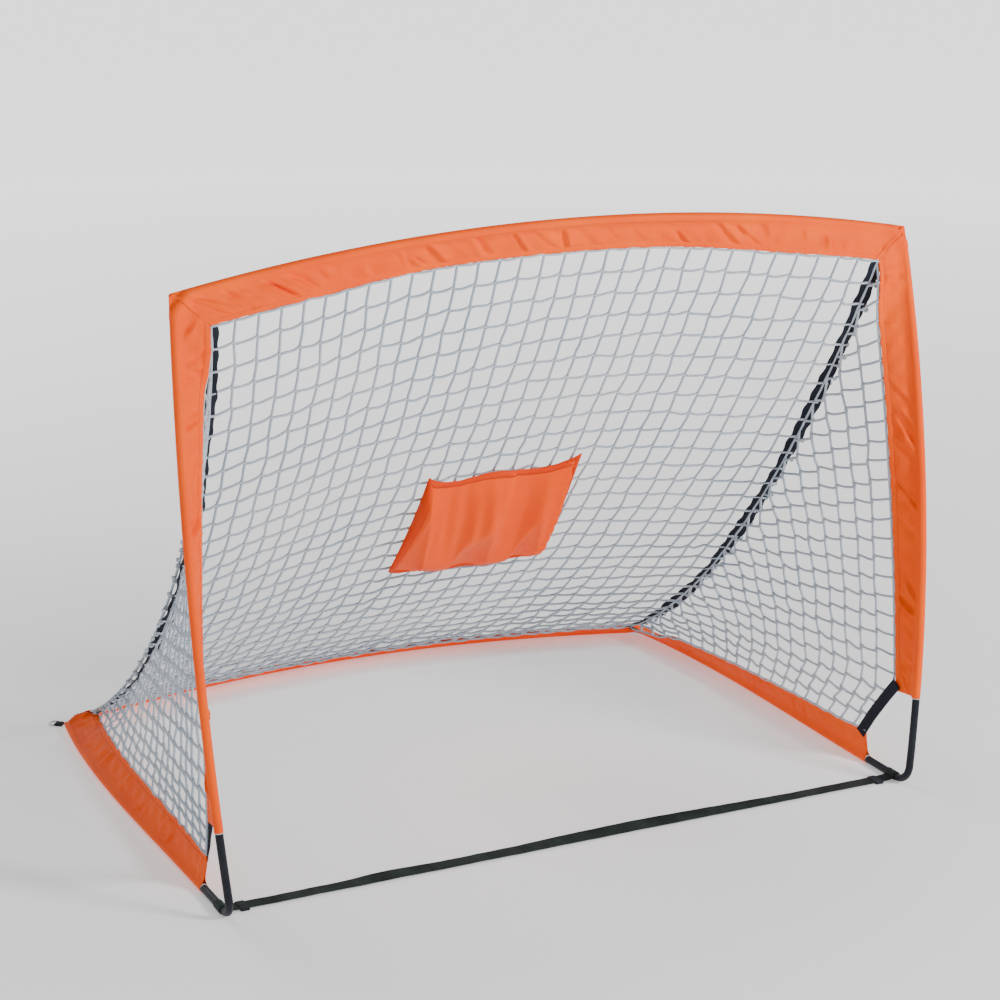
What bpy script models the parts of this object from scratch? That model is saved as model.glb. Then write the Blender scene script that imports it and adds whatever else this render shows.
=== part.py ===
"""Portable soccer goal: a plug-together hoop of rods in sewn sleeves, with a net.

Metres, +Z up. The open mouth faces -Y, X is the axis of symmetry, and the floor is Z = 0.
"""

import math

import bmesh
import bpy
from mathutils import Matrix, Vector

# Overall size, between the points where the tube centre lines would cross
GROUND_HALF_WIDTH = 0.603
TOP_HALF_WIDTH = 0.6215
HEIGHT = 0.917
TOP_LEAN = 0.120
DEPTH = 0.883
REAR_HALF_WIDTH = 0.580

# How far the rods bow out of the straight lines between the corners
CROSSBAR_RISE = 0.0595
POST_BOW_OUT = 0.0207
POST_BOW_FORWARD = 0.0207
REAR_BOW = 0.103
SIDE_BOW_HANDLE = 0.017

# Tubes and rods
ROD_RADIUS = 0.00475
ELBOW_WALL = 0.0007
CORNER_TUBE_WALL = 0.0013
BEND_TRIM = 0.030
UPRIGHT_ARM = 0.137
GROUND_ARM = 0.118
SIDE_STRAIGHT = 0.020
CORNER_GRIP = 0.055
ELBOW_ARM = 0.075
ELBOW_GRIP = 0.038
FERRULE_LENGTH = 0.10
CROSSBAR_MIDDLE_ROD = 0.42
REAR_MIDDLE_ROD = 0.40

# Sleeves
BAND_WIDTH = 0.061
SLEEVE_WALL = 0.0006
FLAP_THICKNESS = 0.0016
FLAP_ROOT = 0.004
POST_TWIST = math.radians(80)
POST_TWIST_START = 0.11
CROSSBAR_TILT = math.radians(22)
SIDE_TWIST = math.radians(52)
REAR_TILT = math.radians(25)
CORNER_FLAT = 0.045
CORNER_FADE = 0.150
POUCH_DEPTH = 0.008
POUCH_END = 0.020
POUCH_FADE = 0.038

# Nets, tapes and straps
NET_THICKNESS = 0.002
NET_GAP = 0.004
WEBBING_WIDTH = 0.025
WEBBING_THICKNESS = 0.0012
TAPE_TOP_SHARES = (-0.048, 0.165, -0.404)
TAPE_LOW_SHARES = (-0.0095, -0.342, 0.150)
STRAP_THICKNESS = 0.0010
STRAP_LIFT = 0.0020
STRAP_SETBACK = 0.045
SLIDER_INSET = 0.034
SLIDER_LENGTH = 0.014
SLIDER_BAR = 0.0015
CORNER_STRAP_LAP = 0.012
CORNER_STRAP_TURN = math.radians(6)

# Target panel, as shares of the back net's half width and height
TARGET_LEFT = -0.22
TARGET_RIGHT = 0.345
TARGET_TOP = 0.345
TARGET_BOTTOM = 0.57
TARGET_GAP = 0.005
TARGET_ROWS = 4
TARGET_COLUMNS = 6

# Anchor tabs and rings
RING_WIRE = 0.00125
RING_RADIUS = 0.010
TAB_WIDTH = 0.014
TAB_LENGTH = 0.012
TAB_WALL = 0.0006

# Clearance and resolution
CLEAR = 0.0003
SLEEVE_CLEAR = 0.0007
STATION = 0.075
STATION_MIN = 0.010
SIDES = 10
SLEEVE_SIDES = 8
BEND_STEPS = 6
SEAM_STEPS = 12
NET_COLUMNS = 12
STRAP_LOOP_STEPS = 18
TAB_STEPS = 8
RING_STEPS = 10
RING_SIDES = 8
CUT_MARGIN = 0.010
SHARP_ANGLE = math.radians(40)
SAME_POINT = 1e-4

BORE_RADIUS = ROD_RADIUS + CLEAR
ELBOW_RADIUS = BORE_RADIUS + ELBOW_WALL
CORNER_TUBE_RADIUS = BORE_RADIUS + CORNER_TUBE_WALL
FLOOR_TO_AXIS = CORNER_TUBE_RADIUS + CLEAR + STRAP_THICKNESS
CHANNEL_RADIUS = (ELBOW_RADIUS + SLEEVE_CLEAR) / math.cos(math.pi / SLEEVE_SIDES)
SLEEVE_RADIUS = ELBOW_RADIUS + SLEEVE_CLEAR + SLEEVE_WALL
FLAP_REACH = BAND_WIDTH - SLEEVE_RADIUS

# name: colour, metallic, roughness
MATERIALS = {
    "black_steel": ((0.02, 0.02, 0.025, 1), 0.6, 0.45),
    "fibreglass": ((0.62, 0.63, 0.60, 1), 0.0, 0.5),
    "zinc_steel": ((0.55, 0.56, 0.58, 1), 0.9, 0.35),
    "orange_fabric": ((0.86, 0.14, 0.03, 1), 0.0, 0.65),
    "net_twine": ((0.72, 0.76, 0.80, 1), 0.0, 0.8),
    "black_webbing": ((0.02, 0.022, 0.03, 1), 0.0, 0.8),
}


def material(name):
    found = bpy.data.materials.get(name)
    if found:
        return found
    colour, metallic, roughness = MATERIALS[name]
    made = bpy.data.materials.new(name)
    made.use_nodes = True
    shader = made.node_tree.nodes["Principled BSDF"]
    shader.inputs["Base Color"].default_value = colour
    shader.inputs["Metallic"].default_value = metallic
    shader.inputs["Roughness"].default_value = roughness
    return made


def mirrored(points):
    return [Vector((-p.x, p.y, p.z)) for p in points]


def for_side(points, side):
    """The right-hand points as they are, or mirrored for the left."""
    return points if side == "right" else mirrored(points)


def mesh_object(name, vertices, faces, slot, smooth=True):
    """A closed solid from vertices and faces, with its origin at its middle."""
    middle = sum((Vector(v) for v in vertices), Vector()) / len(vertices)
    mesh = bpy.data.meshes.new(name)
    mesh.from_pydata([Vector(v) - middle for v in vertices], [], faces)
    work = bmesh.new()
    work.from_mesh(mesh)
    bmesh.ops.recalc_face_normals(work, faces=work.faces)
    work.to_mesh(mesh)
    work.free()
    mesh.materials.append(material(slot))
    if smooth:
        mesh.shade_smooth()
        mesh.set_sharp_from_angle(angle=SHARP_ANGLE)
    made = bpy.data.objects.new(name, mesh)
    made.location = middle
    bpy.context.scene.collection.objects.link(made)
    return made


def ring_faces(count, first, second):
    """Quads between two rings of vertices that start at these numbers."""
    return [
        (first + i, first + (i + 1) % count, second + (i + 1) % count, second + i)
        for i in range(count)
    ]


# Paths: polylines that every tube, rod and sleeve follows, so that all stay concentric


def cubic(a, p, q, b, count):
    points = []
    for i in range(count + 1):
        t = i / count
        s = 1 - t
        points.append(a * s**3 + p * (3 * s * s * t) + q * (3 * s * t * t) + b * t**3)
    return points


def bowed(a, b, bow, count):
    """A parabola from a to b whose middle stands off the straight line by bow."""
    handle = (a + b) / 2 + bow * 2
    return cubic(a, a + (handle - a) * (2 / 3), b + (handle - b) * (2 / 3), b, count)


def distances(points):
    total = [0.0]
    for a, b in zip(points, points[1:]):
        total.append(total[-1] + (b - a).length)
    return total


def piece_of(points, start, end):
    """The stretch of a polyline between two distances along it."""
    along = distances(points)

    def at(distance):
        for i in range(len(points) - 1):
            if distance <= along[i + 1] or i == len(points) - 2:
                share = (distance - along[i]) / (along[i + 1] - along[i])
                return points[i].lerp(points[i + 1], share)

    inner = [p for p, d in zip(points, along) if start + SAME_POINT < d < end - SAME_POINT]
    return [at(start), *inner, at(end)]


def station_count(a, b):
    return max(4, math.ceil((b - a).length / STATION))


def rear_corner():
    return Vector((REAR_HALF_WIDTH, DEPTH, FLOOR_TO_AXIS))


def ground_corner():
    return Vector((GROUND_HALF_WIDTH, 0, FLOOR_TO_AXIS))


def top_corner():
    return Vector((TOP_HALF_WIDTH, TOP_LEAN, FLOOR_TO_AXIS + HEIGHT))


def rear_run():
    """Right half of the rear rod, from the centre plane out to the rear corner."""
    corner = rear_corner()
    far = mirrored([corner])[0]
    count = 2 * station_count(Vector((0, corner.y, corner.z)), corner)
    return bowed(far, corner, Vector((0, REAR_BOW, 0)), count)[count // 2 :]


def side_run():
    """Right side of the ground frame, from the ground corner back to the rear corner.

    Its front end is straight along Y, so that the rod slides in the corner tube.
    """
    front = ground_corner()
    rear = rear_corner()
    start = front + Vector((0, GROUND_ARM + SIDE_STRAIGHT, 0))
    third = (rear.y - start.y) / 3
    first = start + Vector((0, third, 0))
    second = Vector((front.x + SIDE_BOW_HANDLE, rear.y - third, rear.z))
    return [front, *cubic(start, first, second, rear, station_count(start, rear))]


def post_run():
    bow = Vector((POST_BOW_OUT, -POST_BOW_FORWARD, 0))
    bottom = ground_corner()
    top = top_corner()
    return bowed(bottom, top, bow, station_count(bottom, top))


def crossbar_run():
    """Right half of the crossbar, from the top corner in to the centre plane."""
    corner = top_corner()
    far = mirrored([corner])[0]
    count = 2 * station_count(Vector((0, corner.y, corner.z)), corner)
    return bowed(corner, far, Vector((0, 0, CROSSBAR_RISE)), count)[: count // 2 + 1]


def bend(before, after):
    """A round bend from the end of one stretch to the start of the next."""
    a, b = before[-1], after[0]
    along = (before[-1] - before[-2]).normalized()
    away = (after[1] - after[0]).normalized()
    turn = along.angle(away)
    radius = BEND_TRIM / math.tan(turn / 2)
    handle = 4 / 3 * math.tan(turn / 4) * radius
    return cubic(a, a + along * handle, b - away * handle, b, BEND_STEPS)[1:-1]


def half_hoop():
    """The right half of the hoop's centre line, and where its three bends start and end."""
    rear = rear_run()
    side = list(reversed(side_run()))
    post = post_run()
    bar = crossbar_run()
    stretches = [
        piece_of(rear, 0, distances(rear)[-1] - BEND_TRIM),
        piece_of(side, BEND_TRIM, distances(side)[-1] - BEND_TRIM),
        piece_of(post, BEND_TRIM, distances(post)[-1] - BEND_TRIM),
        piece_of(bar, BEND_TRIM, distances(bar)[-1]),
    ]
    points = list(stretches[0])
    marks = []
    for before, after in zip(stretches, stretches[1:]):
        start = distances(points)[-1]
        points += bend(before, after)
        points += after
        marks.append((start, distances(points)[-1] - distances(after)[-1]))
    return points, marks


def joined_halves(half):
    """A right half that starts on the centre plane, with its mirror image before it."""
    return [*reversed(mirrored(half)), *half[1:]]


# Swept solids


def tangents(points):
    found = []
    for i in range(len(points)):
        a = points[max(i - 1, 0)]
        b = points[i]
        c = points[min(i + 1, len(points) - 1)]
        before = (b - a).normalized() if (b - a).length else (c - b).normalized()
        after = (c - b).normalized() if (c - b).length else before
        found.append((before + after).normalized())
    return found


def swept_round(name, points, radius, slot, bore=0.0, sides=SIDES):
    """A rod along a path, or a tube with both ends open if it has a bore."""
    along = tangents(points)
    across = along[0].orthogonal().normalized()
    rings = [radius] + ([bore / math.cos(math.pi / sides)] if bore else [])
    vertices = []
    for point, tangent in zip(points, along):
        across = (across - tangent * across.dot(tangent)).normalized()
        up = tangent.cross(across)
        for size in rings:
            for k in range(sides):
                turn = math.tau * k / sides
                vertices.append(point + (across * math.cos(turn) + up * math.sin(turn)) * size)
    step = sides * len(rings)
    last = step * (len(points) - 1)
    faces = []
    for i in range(len(points) - 1):
        for layer in range(len(rings)):
            faces += ring_faces(sides, i * step + layer * sides, (i + 1) * step + layer * sides)
    if bore:
        faces += ring_faces(sides, 0, sides)
        faces += ring_faces(sides, last, last + sides)
    else:
        faces.append(tuple(range(sides)))
        faces.append(tuple(range(last, last + sides)))
    return mesh_object(name, vertices, faces, slot)


def sleeve_outline(pouch):
    """Outer and inner outlines of a sleeve across its path: a channel for the rod and a flat flap.

    The first number runs towards the flap, the second across it.
    """
    half = FLAP_THICKNESS / 2
    step = math.tau / SLEEVE_SIDES
    turns = [-(k - 0.5) * step for k in range(SLEEVE_SIDES)]
    inner = [
        (CHANNEL_RADIUS * math.cos(a) + max(0.0, math.copysign(pouch, math.cos(a))),
         CHANNEL_RADIUS * math.sin(a))
        for a in turns
    ]
    wall = SLEEVE_WALL / math.cos(math.pi / SLEEVE_SIDES)
    grow = (CHANNEL_RADIUS + wall) / CHANNEL_RADIUS
    outer = [
        (CHANNEL_RADIUS * grow * math.cos(a) + max(0.0, math.copysign(pouch, math.cos(a))),
         CHANNEL_RADIUS * grow * math.sin(a))
        for a in turns[2:]
    ]
    root = CHANNEL_RADIUS * grow + FLAP_ROOT + pouch
    flap = [(root, half), (FLAP_REACH, half), (FLAP_REACH, -half), (root, -half)]
    return [*flap, *outer], inner


def wall_faces(outline, first, second):
    """Triangles between two rings of an outline, whose diagonals all run towards the flap's edge.

    Both walls of a twisted flap are then split the same way, and keep their distance.
    """
    faces = []
    for k, (v, _) in enumerate(outline):
        n = (k + 1) % len(outline)
        if outline[n][0] > v:
            faces += [(first + k, first + n, second + n), (first + k, second + n, second + k)]
        else:
            faces += [(first + k, first + n, second + k), (first + n, second + n, second + k)]
    return faces


def sleeve(name, stations):
    """A sleeve through stations of (point, tangent, flap direction, pouch, shear)."""
    vertices = []
    for point, tangent, flap, pouch, shear in stations:
        toward = (flap - tangent * flap.dot(tangent)).normalized()
        across = tangent.cross(toward)
        outer, inner = sleeve_outline(pouch)
        for v, w in [*outer, *inner]:
            vertices.append(point + (toward + tangent * shear) * v + across * w)
    outside = SLEEVE_SIDES + 2
    step = outside + SLEEVE_SIDES
    faces = []
    for i in range(len(stations) - 1):
        outer, inner = sleeve_outline(stations[i][3])
        faces += wall_faces(outer, i * step, (i + 1) * step)
        faces += wall_faces(inner, i * step + outside, (i + 1) * step + outside)
    for start in (0, step * (len(stations) - 1)):
        inside = start + outside
        faces.append((start, start + 1, start + 2, start + 3))
        faces.append((start, start + 3, inside + 1, inside))
        for k in range(1, SLEEVE_SIDES):
            here = start + k + 2
            there = start + (k + 3 if k + 3 < outside else 0)
            faces.append((here, there, inside + (k + 1) % SLEEVE_SIDES, inside + k))
    return mesh_object(name, vertices, faces, "orange_fabric")


def eased(x):
    x = min(1.0, max(0.0, x))
    return x * x * (3 - 2 * x)


def flap_toward(distance, inward, free):
    """A flap lies in the corner's plane near a mitre and takes its own slope further off."""
    share = eased((distance - CORNER_FLAT) / (CORNER_FADE - CORNER_FLAT))
    return inward.lerp(free, share).normalized()


def pouch_at(distance):
    """How much longer the channel is, where it holds the bend of an elbow."""
    return POUCH_DEPTH * (1 - eased((distance - POUCH_END) / (POUCH_FADE - POUCH_END)))


def mitred_stations(run, other, free, end):
    """Stations along a run that starts at a mitred corner and stops square at a distance.

    other is the direction of the neighbouring run away from the corner, and free gives
    the flap's own direction at a share of the run.
    """
    length = distances(run)[-1]
    away = (run[1] - run[0]).normalized()
    inward = (other - away * other.dot(away)).normalized()
    slope = 1 / math.tan(away.angle(other) / 2)
    near = [CLEAR, POUCH_END, POUCH_FADE, CORNER_FLAT]
    between = [d for d in distances(run) if CORNER_FLAT + STATION_MIN < d < end - STATION_MIN]
    spots = [*near, *between, end]
    stations = []
    for spot in spots:
        last = spot > length - SAME_POINT
        path = run[-2:] if last else piece_of(run, spot, length)
        tangent = (path[1] - path[0]).normalized()
        point = path[1] if last else path[0]
        fade = 1 - eased((spot - CORNER_FLAT) / (2 * BAND_WIDTH))
        flap = flap_toward(spot, inward, free(spot / length))
        stations.append((point, tangent, flap, pouch_at(spot), slope * fade))
    return stations


def smoothed_tangents(stations):
    """Stations with the mean direction of the path before and after each of them."""
    means = tangents([s[0] for s in stations])
    return [(s[0], mean, *s[2:]) for s, mean in zip(stations, means)]


def mirrored_stations(stations):
    """The same stations on the other side, run through backwards."""
    flip = []
    for point, tangent, flap, pouch, shear in reversed(stations):
        point, tangent, flap = mirrored([point, tangent, flap])
        flip.append((point, -tangent, flap, pouch, -shear))
    return flip


def direction_away(run):
    return (run[1] - run[0]).normalized()


def post_flap(share):
    """Direction of the post's flap, at a share of the post's length down from the top."""
    turn = POST_TWIST * max(0.0, 1 - share - POST_TWIST_START)
    return Vector((-math.sin(turn), math.cos(turn), 0))


def crossbar_flap(_share):
    return Vector((0, math.sin(CROSSBAR_TILT), -math.cos(CROSSBAR_TILT)))


def side_flap(share):
    """Direction of the side flap, at a share of the length forward from the rear corner."""
    turn = SIDE_TWIST * (1 - share)
    return Vector((-math.sin(turn), 0, math.cos(turn)))


def rear_flap(_share):
    return Vector((0, -math.cos(REAR_TILT), math.sin(REAR_TILT)))


def sleeve_paths():
    """Stations of the four kinds of sleeve, on the right-hand side, each from its mitred corner."""
    bar = crossbar_run()
    post = list(reversed(post_run()))
    side = list(reversed(side_run()))
    rear = list(reversed(rear_run()))
    ends = {
        "crossbar": (bar, post, crossbar_flap, distances(bar)[-1]),
        "post": (post, bar, post_flap, distances(post)[-1] - UPRIGHT_ARM - 2 * CLEAR),
        "side": (side, rear, side_flap, distances(side)[-1] - GROUND_ARM - 2 * CLEAR),
        "rear": (rear, side, rear_flap, distances(rear)[-1]),
    }
    paths = {}
    for name, (run, neighbour, free, end) in ends.items():
        stations = mitred_stations(run, direction_away(neighbour), free, end)
        paths[name] = smoothed_tangents(stations)
    return paths


def whole_width(stations):
    """Stations of a sleeve that runs from its right corner over the centre to the left one."""
    point, _, flap, pouch, _ = stations[-1]
    middle = (point, Vector((-1, 0, 0)), flap, pouch, 0.0)
    return [*stations[:-1], middle, *mirrored_stations(stations[:-1])]


def add_sleeves(paths):
    sleeve("crossbar_sleeve", whole_width(paths["crossbar"]))
    sleeve("rear_sleeve", whole_width(paths["rear"]))
    for side in ("left", "right"):
        for kind in ("post", "side"):
            stations = paths[kind] if side == "right" else mirrored_stations(paths[kind])
            sleeve(f"{kind}_sleeve_{side}", stations)


def flap_edge(stations, reach):
    """The line just beyond the free edge of a sleeve's flap."""
    edge = []
    for point, tangent, flap, _, shear in stations:
        toward = (flap - tangent * flap.dot(tangent)).normalized()
        edge.append(point + (toward + tangent * shear) * reach)
    return edge


# The hoop's tubes and rods


def add_hoop():
    points, (rear_bend, ground_bend, top_bend) = half_hoop()
    total = distances(points)[-1]
    tube_start = ground_bend[0] - GROUND_ARM + BEND_TRIM
    tube_end = ground_bend[1] + UPRIGHT_ARM - BEND_TRIM
    arm = ELBOW_ARM - BEND_TRIM
    post_mid = (tube_end + top_bend[0]) / 2
    side_mid = (tube_start + rear_bend[1]) / 2
    bar_joint = total - CROSSBAR_MIDDLE_ROD / 2
    rear_joint = REAR_MIDDLE_ROD / 2
    tubes = {
        "corner_tube": (tube_start, tube_end, CORNER_TUBE_RADIUS, "black_steel"),
        "top_elbow": (top_bend[0] - arm, top_bend[1] + arm, ELBOW_RADIUS, "zinc_steel"),
        "rear_elbow": (rear_bend[0] - arm, rear_bend[1] + arm, ELBOW_RADIUS, "zinc_steel"),
    }
    joints = {"post": post_mid, "side": side_mid, "crossbar": bar_joint, "rear": rear_joint}
    for name, middle in joints.items():
        ends = (middle - FERRULE_LENGTH / 2, middle + FERRULE_LENGTH / 2)
        tubes[f"{name}_ferrule"] = (*ends, ELBOW_RADIUS, "zinc_steel")
    rods = {
        "rear_rod": (rear_joint + CLEAR, rear_bend[0] - arm + ELBOW_GRIP),
        "side_rod_rear": (rear_bend[1] + arm - ELBOW_GRIP, side_mid - CLEAR),
        "side_rod_front": (side_mid + CLEAR, tube_start + CORNER_GRIP),
        "post_rod_lower": (tube_end - CORNER_GRIP, post_mid - CLEAR),
        "post_rod_upper": (post_mid + CLEAR, top_bend[0] - arm + ELBOW_GRIP),
        "crossbar_rod": (top_bend[1] + arm - ELBOW_GRIP, bar_joint - CLEAR),
    }
    for side in ("left", "right"):
        half = for_side(points, side)
        for name, (start, end, radius, slot) in tubes.items():
            swept_round(f"{name}_{side}", piece_of(half, start, end), radius, slot, BORE_RADIUS)
        for name, (start, end) in rods.items():
            swept_round(f"{name}_{side}", piece_of(half, start, end), ROD_RADIUS, "fibreglass")
    middle = joined_halves(piece_of(points, 0, rear_joint - CLEAR))
    swept_round("rear_rod_middle", middle, ROD_RADIUS, "fibreglass")
    from_centre = list(reversed(points))
    middle = joined_halves(piece_of(from_centre, 0, CROSSBAR_MIDDLE_ROD / 2 - CLEAR))
    swept_round("crossbar_rod_middle", middle, ROD_RADIUS, "fibreglass")


# Nets and what is sewn to them


def resampled(points, count):
    along = distances(points)[-1]
    return [piece_of(points, along * i / count, along)[0] for i in range(count)] + [points[-1]]


def slab(name, rows, thickness, slot):
    """A thin solid about a grid of points, thickened along the grid's own normals."""
    count, width = len(rows), len(rows[0])
    front, back = [], []
    for i in range(count):
        for j in range(width):
            down = rows[min(i + 1, count - 1)][j] - rows[max(i - 1, 0)][j]
            across = rows[i][min(j + 1, width - 1)] - rows[i][max(j - 1, 0)]
            normal = down.cross(across).normalized() * (thickness / 2)
            front.append(rows[i][j] + normal)
            back.append(rows[i][j] - normal)
    faces = []
    total = count * width
    for i in range(count - 1):
        for j in range(width - 1):
            a = i * width + j
            quad = (a, a + 1, a + width + 1, a + width)
            faces.append(quad)
            faces.append(tuple(total + k for k in reversed(quad)))
    rim = [*range(width - 1), *range(width - 1, total - 1, width)]
    rim += [*range(total - 1, total - width, -1), *range(total - width, 0, -width)]
    for a, b in zip(rim, rim[1:] + rim[:1]):
        faces.append((a, b, total + b, total + a))
    return mesh_object(name, [*front, *back], faces, slot)


def seam_line(paths):
    """Centre of the right seam tape, hanging from the top inner corner to the rear one."""
    reach = FLAP_REACH + WEBBING_WIDTH
    top = flap_edge(paths["crossbar"][:1], reach)[0]
    low = flap_edge(paths["side"][:1], reach)[0]
    size = Vector((1, DEPTH, HEIGHT))
    first = top + Vector([a * b for a, b in zip(TAPE_TOP_SHARES, size)])
    second = low + Vector([a * b for a, b in zip(TAPE_LOW_SHARES, size)])
    return cubic(top, first, second, low, SEAM_STEPS)


def tape_rows(seam, inner, outer):
    """Rows of two points, offset in X from the seam."""
    return [[p + Vector((inner, 0, 0)), p + Vector((outer, 0, 0))] for p in seam]


def back_net_rows(paths, seam):
    """Rows from the crossbar's flap down to the rear flap, each from left to right."""
    reach = FLAP_REACH + NET_GAP
    half = WEBBING_WIDTH / 2 + NET_GAP
    top = joined_halves(list(reversed(flap_edge(paths["crossbar"], reach))))
    low = joined_halves(list(reversed(flap_edge(paths["rear"], reach))))
    rows = []
    for i, point in enumerate(seam):
        share = i / (len(seam) - 1)
        rows.append([])
        for j in range(NET_COLUMNS + 1):
            u = 2 * j / NET_COLUMNS - 1
            bow_top = bow_over(top, u)
            bow_low = bow_over(low, u)
            base = Vector(((point.x - half) * u, point.y, point.z))
            rows[-1].append(base + bow_top * (1 - share) + bow_low * share)
    return rows


def bow_over(edge, u):
    """How far a symmetric edge stands off the level line between its ends, at X share u."""
    end = edge[-1]
    for a, b in zip(edge, edge[1:]):
        if a.x <= u * end.x <= b.x:
            share = (u * end.x - a.x) / (b.x - a.x)
            found = a.lerp(b, share)
            return Vector((0, found.y - end.y, found.z - end.z))
    return Vector()


def side_net_rows(paths, seam):
    """Rows back to the seam from the post's flap, and below it from the corner strap."""
    reach = FLAP_REACH + NET_GAP
    offset = Vector((WEBBING_WIDTH / 2 + NET_GAP, 0, 0))
    rows_wanted = len(seam) - 1
    base = list(reversed(flap_edge(paths["side"], reach)))
    post = resampled([*flap_edge(paths["post"], reach), base[0]], rows_wanted)
    along = distances(base)
    rows = []
    for i in range(1, rows_wanted + 1):
        share = i / rows_wanted
        front = post[i]
        back = seam[i] + offset
        row = []
        for point, distance in zip(base, along):
            u = distance / along[-1]
            sag = point - base[0].lerp(base[-1], u)
            row.append(front.lerp(back, u) + sag * share**3)
        rows.append(row)
    return rows


def add_nets(paths):
    seam = seam_line(paths)
    half = WEBBING_WIDTH / 2
    net = back_net_rows(paths, seam)
    slab("back_net", net, NET_THICKNESS, "net_twine")
    add_target(net)
    for side in ("left", "right"):
        rows = [for_side(row, side) for row in side_net_rows(paths, seam)]
        slab(f"side_net_{side}", rows, NET_THICKNESS, "net_twine")
        rows = [for_side(row, side) for row in tape_rows(seam[:-1], -half, half)]
        slab(f"seam_tape_{side}", rows, WEBBING_THICKNESS, "black_webbing")


def grid_point(rows, u, v):
    """A point of a grid, at shares of its width and height."""
    row = v * (len(rows) - 1)
    column = u * (len(rows[0]) - 1)
    i, j = min(int(row), len(rows) - 2), min(int(column), len(rows[0]) - 2)
    upper = rows[i][j].lerp(rows[i][j + 1], column - j)
    lower = rows[i + 1][j].lerp(rows[i + 1][j + 1], column - j)
    return upper.lerp(lower, row - i)


def add_target(net):
    """A cloth panel that hangs just in front of the back net."""
    forward = Vector((0, -1, -1)).normalized() * (TARGET_GAP + NET_THICKNESS)
    rows = []
    for i in range(TARGET_ROWS + 1):
        v = TARGET_TOP + (TARGET_BOTTOM - TARGET_TOP) * i / TARGET_ROWS
        row = []
        for j in range(TARGET_COLUMNS + 1):
            u = TARGET_LEFT + (TARGET_RIGHT - TARGET_LEFT) * j / TARGET_COLUMNS
            row.append(grid_point(net, (u + 1) / 2, v) + forward)
        rows.append(row)
    slab("target_panel", rows, FLAP_THICKNESS, "orange_fabric")


# Webbing and small hardware


def add_corner_straps(paths):
    """Short webbing from the foot of each post's flap to the front of the side flap."""
    upper = flap_edge(paths["post"][-1:], FLAP_REACH - CORNER_STRAP_LAP)[0]
    lower = flap_edge(paths["side"][-1:], FLAP_REACH - CORNER_STRAP_LAP)[0]
    upper.z += CORNER_STRAP_LAP
    lower.y += CORNER_STRAP_LAP
    run = (lower - upper).normalized()
    across = Vector((1, 0, 0)).cross(run).normalized() * (WEBBING_WIDTH / 2)
    inset = Vector((FLAP_THICKNESS / 2 + WEBBING_THICKNESS / 2 + 4 * CLEAR, 0, 0))
    inset.x += abs(upper.x - lower.x) / 2 + WEBBING_WIDTH * math.sin(CORNER_STRAP_TURN)
    middles = (upper, upper.lerp(lower, 0.5), lower)
    rows = [[p - inset - across, p - inset + across] for p in middles]
    for side in ("left", "right"):
        placed = [for_side(row, side) for row in rows]
        slab(f"corner_strap_{side}", placed, WEBBING_THICKNESS, "black_webbing")


def extruded(name, outline, width, slot, smooth=True):
    """An outline in X and Z, extruded along Y about the object's origin plane."""
    count = len(outline)
    vertices = [Vector((x, y, z)) for y in (-width / 2, width / 2) for x, z in outline]
    faces = [tuple(range(count)), tuple(range(count, 2 * count)), *ring_faces(count, 0, count)]
    return mesh_object(name, vertices, faces, slot, smooth)


def drill(target, centre, axis, radius, width, sides):
    """Cut a round hole through a piece of this width with a hidden cylinder."""
    bpy.ops.mesh.primitive_cylinder_add(
        radius=radius / math.cos(math.pi / sides),
        depth=width + 2 * CUT_MARGIN,
        vertices=sides,
        location=centre,
    )
    cutter = bpy.context.object
    cutter.name = f"cutter_{target.name}_{len(target.modifiers)}"
    cutter.rotation_euler = axis.to_track_quat("Z", "Y").to_euler()
    cutter.hide_render = True
    cutter.display_type = "WIRE"
    cut = target.modifiers.new("hole", "BOOLEAN")
    cut.operation = "DIFFERENCE"
    cut.solver = "EXACT"
    cut.object = cutter


def add_ground_strap():
    """Webbing across the mouth with a loop round each corner tube."""
    outer = CORNER_TUBE_RADIUS + CLEAR + STRAP_THICKNESS
    low, high = STRAP_LIFT, STRAP_LIFT + STRAP_THICKNESS
    first = math.pi + math.asin((FLOOR_TO_AXIS - low) / outer)
    last = 3 * math.pi + math.asin((FLOOR_TO_AXIS - high) / outer)
    right = []
    for i in range(STRAP_LOOP_STEPS + 1):
        turn = first + (last - first) * i / STRAP_LOOP_STEPS
        x = GROUND_HALF_WIDTH + outer * math.cos(turn)
        right.append((x, FLOOR_TO_AXIS + outer * math.sin(turn)))
    left = [(-x, z) for x, z in reversed(right)]
    strap = extruded("ground_strap", [*right, *left], WEBBING_WIDTH, "black_webbing")
    strap.location.y = STRAP_SETBACK
    for x in (-GROUND_HALF_WIDTH, GROUND_HALF_WIDTH):
        centre = (x, STRAP_SETBACK, FLOOR_TO_AXIS)
        drill(strap, centre, Vector((0, 1, 0)), CORNER_TUBE_RADIUS + CLEAR, WEBBING_WIDTH, STRAP_LOOP_STEPS)


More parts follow.
